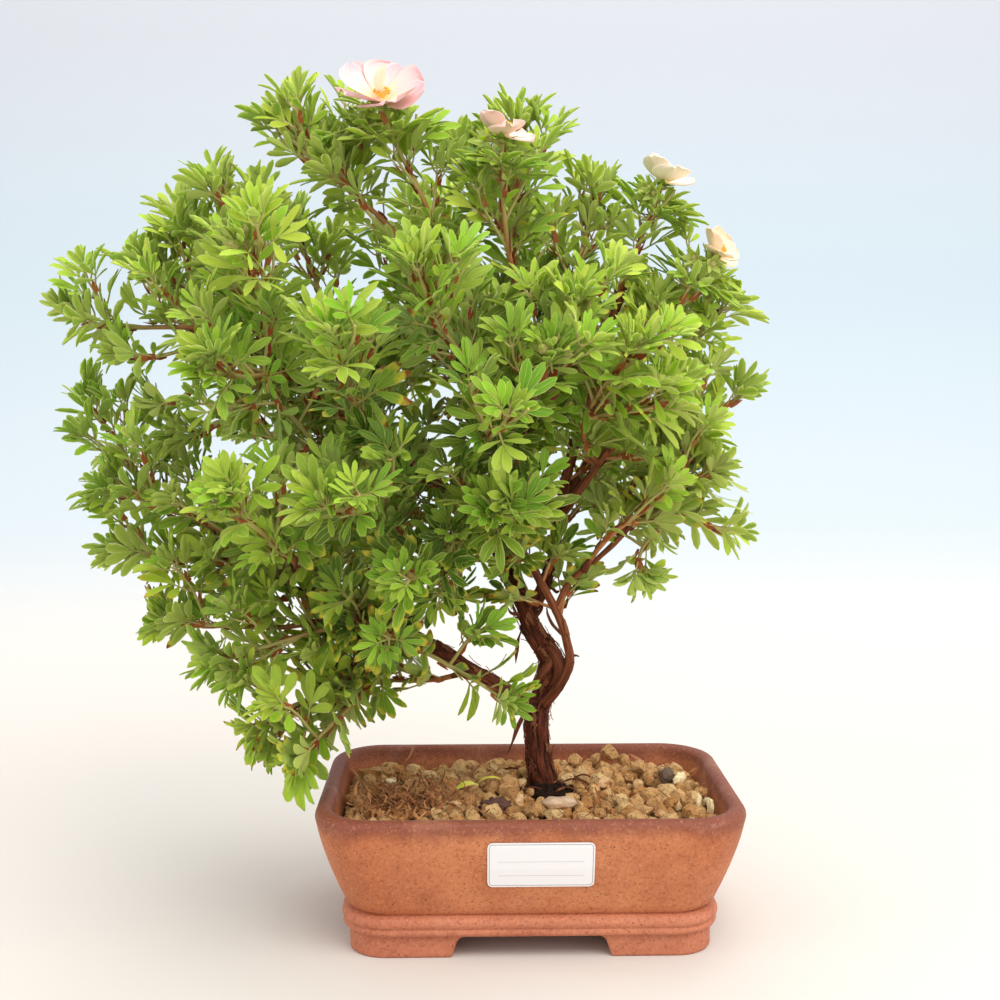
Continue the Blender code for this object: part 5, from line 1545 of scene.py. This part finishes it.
def stem_tube(surface, stem, thick, thin, woody, count=8):
    """The stem itself, woody at its root."""
    steps = max(int(stem.length / 5), 5)
    shares = [step / steps for step in range(steps + 1)]
    looks = [(0.5, woody * (1 - 0.8 * step / steps), 0) for step in range(steps + 1) for _ in range(count)]
    radii = [thick + (thin - thick) * step / steps for step in range(steps + 1)]
    tube(surface, [stem.at(share) for share in shares], radii, count, looks, 1)


def leafy_twig(surface, draw, twig, thick, woody, first, step, youth):
    """A twig with three leaves along it, from a share of its length on, and four round its tip."""
    stem_tube(surface, twig, thick, 0.5, woody, 6)
    for order in range(3):
        loose_leaf(surface, draw, twig, first + step * order, order * GOLDEN_ANGLE, youth)
    for order in range(4):
        tuft_leaf(surface, draw, twig, order, youth)


def side_shoots(surface, draw, stem, youth, amount):
    """Short leafy twigs off a stem, turned outward and up."""
    for number in range(amount):
        share = 0.16 + 0.68 * (number + draw.uniform(0.1, 0.9)) / amount
        along = stem.along(share)
        outward = fan(along, math.radians(number * GOLDEN_ANGLE + 30 + draw.uniform(-25, 25)))
        root = stem.at(share)
        away = (root - CROWN_HEART).normalized()
        direction = (outward * 0.7 + along * 0.5 + away * 0.2 + Vector((0, 0, 0.75))).normalized()
        reach = draw.uniform(16, 30)
        twig = Stem("%s twig %d" % (stem.name, number), root, direction, root + direction * reach)
        if not hides_bloom(np.array([twig.at(step / 8) for step in range(9)])):
            leafy_twig(surface, draw, twig, 0.75, 0.5, 0.35, 0.2, youth)


def ovoid(surface, centre, direction, radius, length, look, finish, ribs=0.0, steps=8, sides=15):
    """A plump bud or seed head, ribbed lengthwise."""
    points, radii = [], []
    for step in range(steps + 1):
        share = step / steps
        points.append(centre + direction * length * share)
        radii.append(max(radius * math.sin(math.pi * (0.1 + 0.86 * share)) ** 0.7, 0.05))
    relief = (lambda angle, walked, size: size * ribs * math.cos(5 * angle)) if ribs else None
    tube(surface, points, radii, sides, look, finish, relief)


def sepals(surface, draw, centre, facing, length, width, rise, look, start=0.0):
    """Five pointed green blades round a bloom or a bud."""
    for number in range(5):
        outward = fan(facing, 2 * math.pi * number / 5 + start)
        tilt = rise + draw.uniform(-0.12, 0.12)
        blade = outward * math.cos(tilt) + facing * math.sin(tilt)
        lifted = facing * math.cos(tilt) - outward * math.sin(tilt)
        points = []
        for share in (step / 5 for step in range(6)):
            points.append(centre + blade * length * share + lifted * length * 0.12 * share * share)
        widths = [width * part for part in SEPAL_WIDTHS]
        strip(surface, points, [facing.cross(outward)] * 6, widths, 0.35, look)


def dress_tip(surface, draw, shoot_tip, direction, bears):
    """Buds, seed heads or the green cup under a bloom."""
    if bears in BLOOMS:
        facing = Vector(BLOOMS[bears][0]).normalized()
        centre = shoot_tip + direction * 2
        tube(surface, [shoot_tip - direction * 2, centre - facing * 0.4], [0.8, 0.9], 8, (0.3, 0.1, 0), 1)
        ovoid(surface, centre - facing * 1.9, facing, 2.3, 2.4, (0.4, 0.35, 0), 1)
        sepals(surface, draw, centre - facing * 0.3, facing, 6.4, 3.0, 0.25, (0.5, 0.45, 0))
        sepals(surface, draw, centre - facing * 0.8, facing, 6.0, 1.9, 0.05, (0.3, 0.5, 0), 0.63)
        for heading in BUDS_BY_BLOOM.get(bears, ()):
            bud(surface, draw, centre - facing * 3, Vector(heading).normalized(), True)
        return
    for number in range(3):
        heading = (direction + fan(direction, math.radians(120 * number + 40)) * 0.75).normalized()
        (bud if bears == "buds" else seed_head)(surface, draw, shoot_tip - direction * 1.5, heading)


def bud(surface, draw, start, heading, opening=False):
    """A bud with its pointed sepals, on a short stalk; the sepals of an opening one spread like a star."""
    end = start + heading * 6
    if opening:
        tube(surface, [start, end], [0.5, 0.6], 6, (0.4, 0.1, 0), 1)
        ovoid(surface, end - heading, heading, 1.7, 3.4, (0.9, 0.1, 0), 1, 0.08)
        sepals(surface, draw, end, heading, 6.6, 3.0, 0.75, (0.9, 0.05, 0))
        sepals(surface, draw, end - heading * 0.4, heading, 6.2, 2.4, 0.25, (0.6, 0.15, 0), 0.63)
        return
    tube(surface, [start, end + heading * 0.6], [0.5, 0.6], 6, (0.4, 0.1, 0), 1)
    ovoid(surface, end, heading, 2.0, 4.6, (0.8, 0.15, 0), 1, 0.08)
    sepals(surface, draw, end + heading * 0.4, heading, 4.6, 2.6, 1.15, (0.9, 0.1, 0))


def seed_head(surface, draw, start, heading):
    """A spent bloom: a ribbed cup with its sepals and a few dry threads."""
    end = start + heading * 6
    tube(surface, [start, end + heading * 0.6], [0.5, 0.6], 6, (0.4, 0.1, 0), 1)
    ovoid(surface, end, heading, 2.7, 5.2, (0.9, 0.55, 0), 1, 0.05)
    sepals(surface, draw, end + heading * 0.6, heading, 5.4, 2.8, 1.0, (0.7, 0.35, 0.4))
    for _ in range(9):
        curl(surface, draw, end + heading * 4.6, heading + Vector((draw.uniform(-0.7, 0.7),
             draw.uniform(-0.7, 0.7), draw.uniform(-0.3, 0.5))), 2.4, 0.5, (0.2, 0, 0), 2)


def make_shoots(finishes):
    """The forty-four shoots, each with its leaves, twigs, sheaths and what its tip bears."""
    spurs = []
    for number, (limb, tip, bears, fork, turn) in enumerate(SHOOTS, start=1):
        name = "shoot_%02d" % number
        draw = random.Random("%s dress" % name)
        tip = Vector(tip)
        root, end, direction = seat(limb, tip, turn)
        spurs.append((root, end))
        stem = Stem(name, end + direction * GAP, direction, tip)
        stems = [stem]
        if fork is not None:
            fork_root = stem.path[1]
            along, _ = frames(stem.path)[1]
            heading = (Vector(fork) - fork_root).normalized()
            outward = (heading - along * heading.dot(along)).normalized()
            inward = (Vector(fork) - CROWN_HEART).length < (fork_root - CROWN_HEART).length
            stems.append(Stem(name + " side", fork_root, (outward + along * 0.6).normalized(), Vector(fork),
                              INNER_SHARES if inward else LEAF_SHARES))
        surface = Surface()
        bright = tip.y < BRIGHT_FRONT_Y or tip.z < BRIGHT_BELOW_Z
        youth = 0.75 if bright else 0.65
        for order, one in enumerate(stems):
            thick = STEM_RADIUS if order == 0 else 0.95
            stem_tube(surface, one, thick, STEM_TIP_RADIUS, 1.0 - 0.4 * order)
            tuft = 0 if bears in BLOOMS and order == 0 else 7
            dress_stem(surface, draw, one, youth, 1, tuft)
            side_shoots(surface, draw, one, youth, 4 - order)
        if bears != "leaves":
            dress_tip(surface, draw, tip, frames(stem.path)[-1][0], bears)
        if bears in BLOOMS:
            ruff(surface, draw, stem, 1.3 if bears == "bloom_1" else 1.0)
        declare(surface.make("leafy_" + name, finishes), "bright_leaf" if bright else "leaf", name)
    return spurs


def ruff(surface, draw, stem, size):
    """The ring of leaves held out under a bloom."""
    along = stem.along(1)
    for number in range(12):
        outward = fan(along, math.radians(number * 72 + 36 * (number // 5) + draw.uniform(-12, 12)))
        spec = held(draw, draw.uniform(70, 96), size * draw.uniform(0.72, 0.98), roll=(-12, 12),
                    curl=(-0.006, 0.004), cup=(0.0, 0.15), spread=(48, 66), fold=(0.1, 0.4))
        spec.update(count=5, rise=0.0, look=(draw.random(), 0.5, 0))
        grow_leaf(surface, draw, stem.at(1) - along * (3.5 + 0.9 * number), along, outward, spec)


def make_inner_twigs(finishes):
    """Old short twigs with a few leaves along the limbs, inside the crown, and the sprays that fill it."""
    draw = random.Random(17)
    for limb, amount in INNER_TWIGS.items():
        surface = Surface()
        for number in range(amount):
            part = 0.4 + 0.6 * (number + draw.random()) / amount
            place, along, radius = limb_point(limb, min(part, 1))
            if limb == "low_branch" and place.x > BARE_BRANCH_X:
                continue
            outward = fan(along, math.radians(number * GOLDEN_ANGLE + draw.uniform(-30, 30)))
            direction = (outward + along * 0.5 + Vector((0, 0, 0.35))).normalized()
            reach = draw.uniform(9, 22)
            twig = Stem("%s inner %d" % (limb, number), place + direction * radius * 0.6, direction,
                        place + direction * reach)
            leafy_twig(surface, draw, twig, 0.8, 1.0, 0.4, 0.22, 0.1)
        for number, (bearer, part, tip) in enumerate(FILLING):
            if bearer == limb:
                place, along, _ = limb_point(limb, part)
                tip = Vector(tip)
                heading = (along + (tip - place).normalized()).normalized()
                spray = Stem("%s filling %d" % (limb, number), place, heading, tip)
                stem_tube(surface, spray, 1.0, STEM_TIP_RADIUS, 0.7)
                dress_stem(surface, draw, spray, 0.6, 3, 6)
        declare(surface.make(limb + "_twigs", finishes), "leaf")


def add_spurs(wood, spurs):
    for number, (root, end) in enumerate(spurs):
        away = (end - root).normalized()
        tube(wood, [root, root.lerp(end, 0.5), end + away * 0.6], [2.0, 1.5, 1.2], 10, (0.8, 0, 0), 0,
             bark_relief(number * 1.9, 0.15))


# Blooms

PETAL_TWIST = math.radians(13)

# How much further the petals on one side of a bloom stand up, in degrees, the lift of all, and which side that
# is.
PETAL_LEANS = {"bloom_1": 2, "bloom_2": 24, "bloom_3": 14, "bloom_4": 20}
PETAL_LIFTS = {"bloom_1": 4, "bloom_2": 0, "bloom_3": -2, "bloom_4": -8}
PETAL_BACKS = {"bloom_1": Vector((-0.1, 0.8, 0.6)), "bloom_2": Vector((-1, 0.2, 0)),
               "bloom_3": Vector((-0.9, 0.3, 0.3)), "bloom_4": Vector((-0.6, 0.6, 0.5))}


def petal(surface, draw, centre, facing, outward, length, width, rise, cup, finish, ruffled=1.0):
    """One petal: a cupped blade with a notched, ruffled rim, closed underneath."""
    tilt = math.radians(rise)
    forward = outward * math.cos(tilt) + facing * math.sin(tilt)
    lifted = facing * math.cos(tilt) - outward * math.sin(tilt)
    side = facing.cross(outward)
    cosine, sine = math.cos(PETAL_TWIST), math.sin(PETAL_TWIST)
    side, lifted = side * cosine + lifted * sine, lifted * cosine - side * sine
    columns, rows = 12, 10
    phase = draw.uniform(0, 6)
    ruffle = draw.uniform(0.03, 0.055) * length * ruffled
    places = []
    pattern = []
    for sheet, drop in ((0, 0.0), (1, 0.28)):
        for row in range(rows + 1):
            v = row / rows
            spread = 0.13 + 0.87 * math.sin(math.pi * min(v * 0.74, 0.5)) ** 0.9
            spread *= 1 if v < 0.66 else math.sqrt(max(1 - ((v - 0.66) / 0.36) ** 2, 0.04))
            for column in range(columns + 1):
                s = 2 * column / columns - 1
                notch = 0.05 * math.exp(-(s / 0.22) ** 2) * max(v - 0.8, 0) / 0.2
                along = (v - notch - 0.03 * s * s * v) * length
                x = s * spread * width / 2
                z = 0.12 * length * v * v + cup * s * s * spread * width * 0.5
                z += ruffle * math.sin(5.2 * s + phase) * v ** 3 - drop * (1 if 0 < column < columns else 0.5)
                z += ruffle * 0.4 * math.sin(11 * s + 2 * phase) * v ** 5
                places.append(centre + facing * 0.9 + side * x + forward * (0.04 * length + along) + lifted * z)
                pattern.append((s * 0.5 + 0.5, v, sheet))
    faces = []
    stride = columns + 1
    under = stride * (rows + 1)
    for low in (row * stride + column for row in range(rows) for column in range(columns)):
        top_face = (low, low + 1, low + stride + 1, low + stride)
        faces += [top_face, tuple(under + corner for corner in reversed(top_face))]
    border = list(range(columns)) + [row * stride + columns for row in range(rows)]
    border += [rows * stride + column for column in range(columns, 0, -1)]
    border += [row * stride for row in range(rows, 0, -1)]
    for start, end in zip(border, border[1:] + border[:1]):
        faces.append((end, start, under + start, under + end))
    if side.cross(forward).dot(lifted) < 0:
        faces = [tuple(reversed(face)) for face in faces]
    surface.add(places, faces, pattern, (0, 0, 0), finish)


def make_blooms():
    """Each bloom's petals, and its stamens with their anthers."""
    gold = Finish("golden_stamen", 0.6, 0.3)
    gold.layers(gold.mix(gold.read("look")[0], (250, 222, 120), (232, 168, 44)))
    for name, (facing, length, width, rise) in BLOOMS.items():
        draw = random.Random(name)
        facing = Vector(facing).normalized()
        centre = bloom_foot(name) + facing * GAP
        petals = Surface()
        for number in range(5):
            outward = fan(facing, math.radians(72 * number + 18))
            here = rise + (2.5 if number % 2 else -2.5) + draw.uniform(-4, 4)
            here += PETAL_LEANS[name] * outward.dot(PETAL_BACKS[name]) + PETAL_LIFTS[name]
            petal(petals, draw, centre, facing, outward, length * draw.uniform(0.96, 1.04), width * 1.36, here,
                  draw.uniform(0.06, 0.2), 0, 1.9 if name == "bloom_2" else 1.0)
        if name == "bloom_1":
            folded = (Vector((0.6, -0.5, 0)) + facing * 0.2).normalized()
            petal(petals, draw, centre + facing * 1.2, facing, folded, 13, 9, 76, 0.8, 1)
        ovoid(petals, centre - facing * 0.2, facing, 2.6, 3.2, (0, 0, 0), 0)
        finish = petal_finish(name + "_petal", *PETAL_PAINTS[name])
        pale = petal_finish(name + "_folded_petal", *(FOLDED_PETAL_PAINT,) * 3)
        declare(petals.make(name + "_corolla", [finish, pale], 60), "petal", name + "_petals")
        burr = Surface()
        for number in range(26):
            spread = 0.25 + 0.75 * math.sqrt((number + 1) / 26)
            outward = fan(facing, number * math.radians(GOLDEN_ANGLE))
            foot = centre + facing * 2.6 + outward * 0.9 * spread
            head = centre + facing * (6.4 - 1.6 * spread) + outward * 3.1 * spread
            tube(burr, [foot, foot.lerp(head, 0.5) + facing * 0.3, head], [0.16, 0.13, 0.12], 5, (0.2, 0, 0))
            leaning = (facing + outward * 0.5).normalized()
            ovoid(burr, head - facing * 0.4, leaning, 0.5, 1.2, (0.9, 0, 0), 0, 0.0, 4, 6)
        ovoid(burr, centre + facing * 1.9, facing, 1.5, 2.6, (0.4, 0, 0), 0)
        declare(burr.make(name + "_burr", [gold.material]), "stamens", name + "_stamens")


# Stage

def make_stage():
    """A pale floor that sweeps up into a bluish white backdrop."""
    deselect()
    bpy.ops.mesh.primitive_plane_add(size=1, location=(0, 0, 0))
    sweep = open_piece("floor_and_backdrop")
    bpy.ops.transform.resize(value=(*FLOOR_SIZE, 1))
    bpy.ops.transform.translate(value=(0, FLOOR_SHIFT, 0))
    choose(sweep, "EDGE", lambda edge: all(end.co.y > 0.5 for end in edge.verts))
    bpy.ops.mesh.extrude_region_move(TRANSFORM_OT_translate={"value": (0, 0, BACKDROP_HEIGHT)})
    choose(sweep, "EDGE", lambda edge: all(end.co.y > 0.5 and end.co.z < 0.1 for end in edge.verts))
    bpy.ops.mesh.bevel(offset=SWEEP_RADIUS, segments=24, affect="EDGES")
    bpy.ops.object.mode_set(mode="OBJECT")
    sweep.data.shade_smooth()
    finish = Finish("paper_sweep", 0.9, 0.1)
    x, _, z = finish.split(finish.place())
    # The paint goes from cream on the floor to bluish grey up the backdrop; the last layer is painted light, a
    # little lighter towards the left.
    finish.layers(
        finish.mix(finish.band(x, -0.4, 0.4), (215, 207, 198), (216, 209, 200)),
        (finish.band(z, 0.0, 0.12), 1, (189, 197, 201)),
        (finish.band(z, 0.08, 0.34), 1, (178, 190, 197)),
        (finish.band(z, 0.3, 0.6), 1, (188, 191, 197)),
        (finish.band(x, 0.3, -0.5), 0.04, (255, 255, 255)))
    sweep.data.materials.append(finish.material)


def area_light(name, place, aim, size, power, colour):
    lamp = bpy.data.lights.new(name, "AREA")
    lamp.size = size
    lamp.energy = power
    lamp.color = colour
    made = bpy.data.objects.new(name, lamp)
    made.location = place
    made.rotation_euler = (Vector(aim) - Vector(place)).to_track_quat("-Z", "Y").to_euler()
    bpy.context.scene.collection.objects.link(made)


def make_light():
    """Soft studio light: a bright room, a large key above the camera and fills from both sides."""
    world = bpy.data.worlds.new("studio")
    world.use_nodes = True
    background = world.node_tree.nodes["Background"]
    background.inputs["Color"].default_value = ROOM_COLOUR
    background.inputs["Strength"].default_value = ROOM_STRENGTH
    bpy.context.scene.world = world
    for lamp in LAMPS:
        area_light(*lamp)


def make_camera():
    lens = bpy.data.cameras.new("camera")
    lens.lens = FOCAL_LENGTH
    lens.sensor_width = 36
    made = bpy.data.objects.new("camera", lens)
    turn = Matrix.Rotation(CAMERA_TURN, 4, "Z")
    made.location = PLACE @ (turn @ Vector(CAMERA_PLACE))
    made.rotation_euler = (math.pi / 2 - CAMERA_DROP, 0, CAMERA_TURN)
    bpy.context.scene.collection.objects.link(made)
    bpy.context.scene.camera = made


def dress_nodes():
    """Finishes for the nodes that stay as they are."""
    finishes = {"label": label_finish(), "screen_left": clouded_finish("net_plastic"),
                "soil": clouded_finish("damp_earth")}
    finishes["screen_right"] = finishes["screen_left"]
    for name, finish in finishes.items():
        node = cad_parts[name]
        node.data.materials.clear()
        node.data.materials.append(finish)


def main():
    bpy.context.scene.view_settings.view_transform = "Standard"
    make_camera()
    make_light()
    make_stage()
    dress_nodes()
    make_pot()
    make_granules()
    make_litter()
    make_roots()
    make_stones()
    make_fallen_leaf()
    finishes = [leaf_finish(), stem_finish(), toned_finish("papery_sheath")]
    spurs = make_shoots(finishes)
    make_inner_twigs(finishes)
    wood = make_wood()
    add_spurs(wood, spurs)
    declare(wood.make("bark_and_wood", [bark_finish()], 120), "wood", "wood")
    make_blooms()


main()
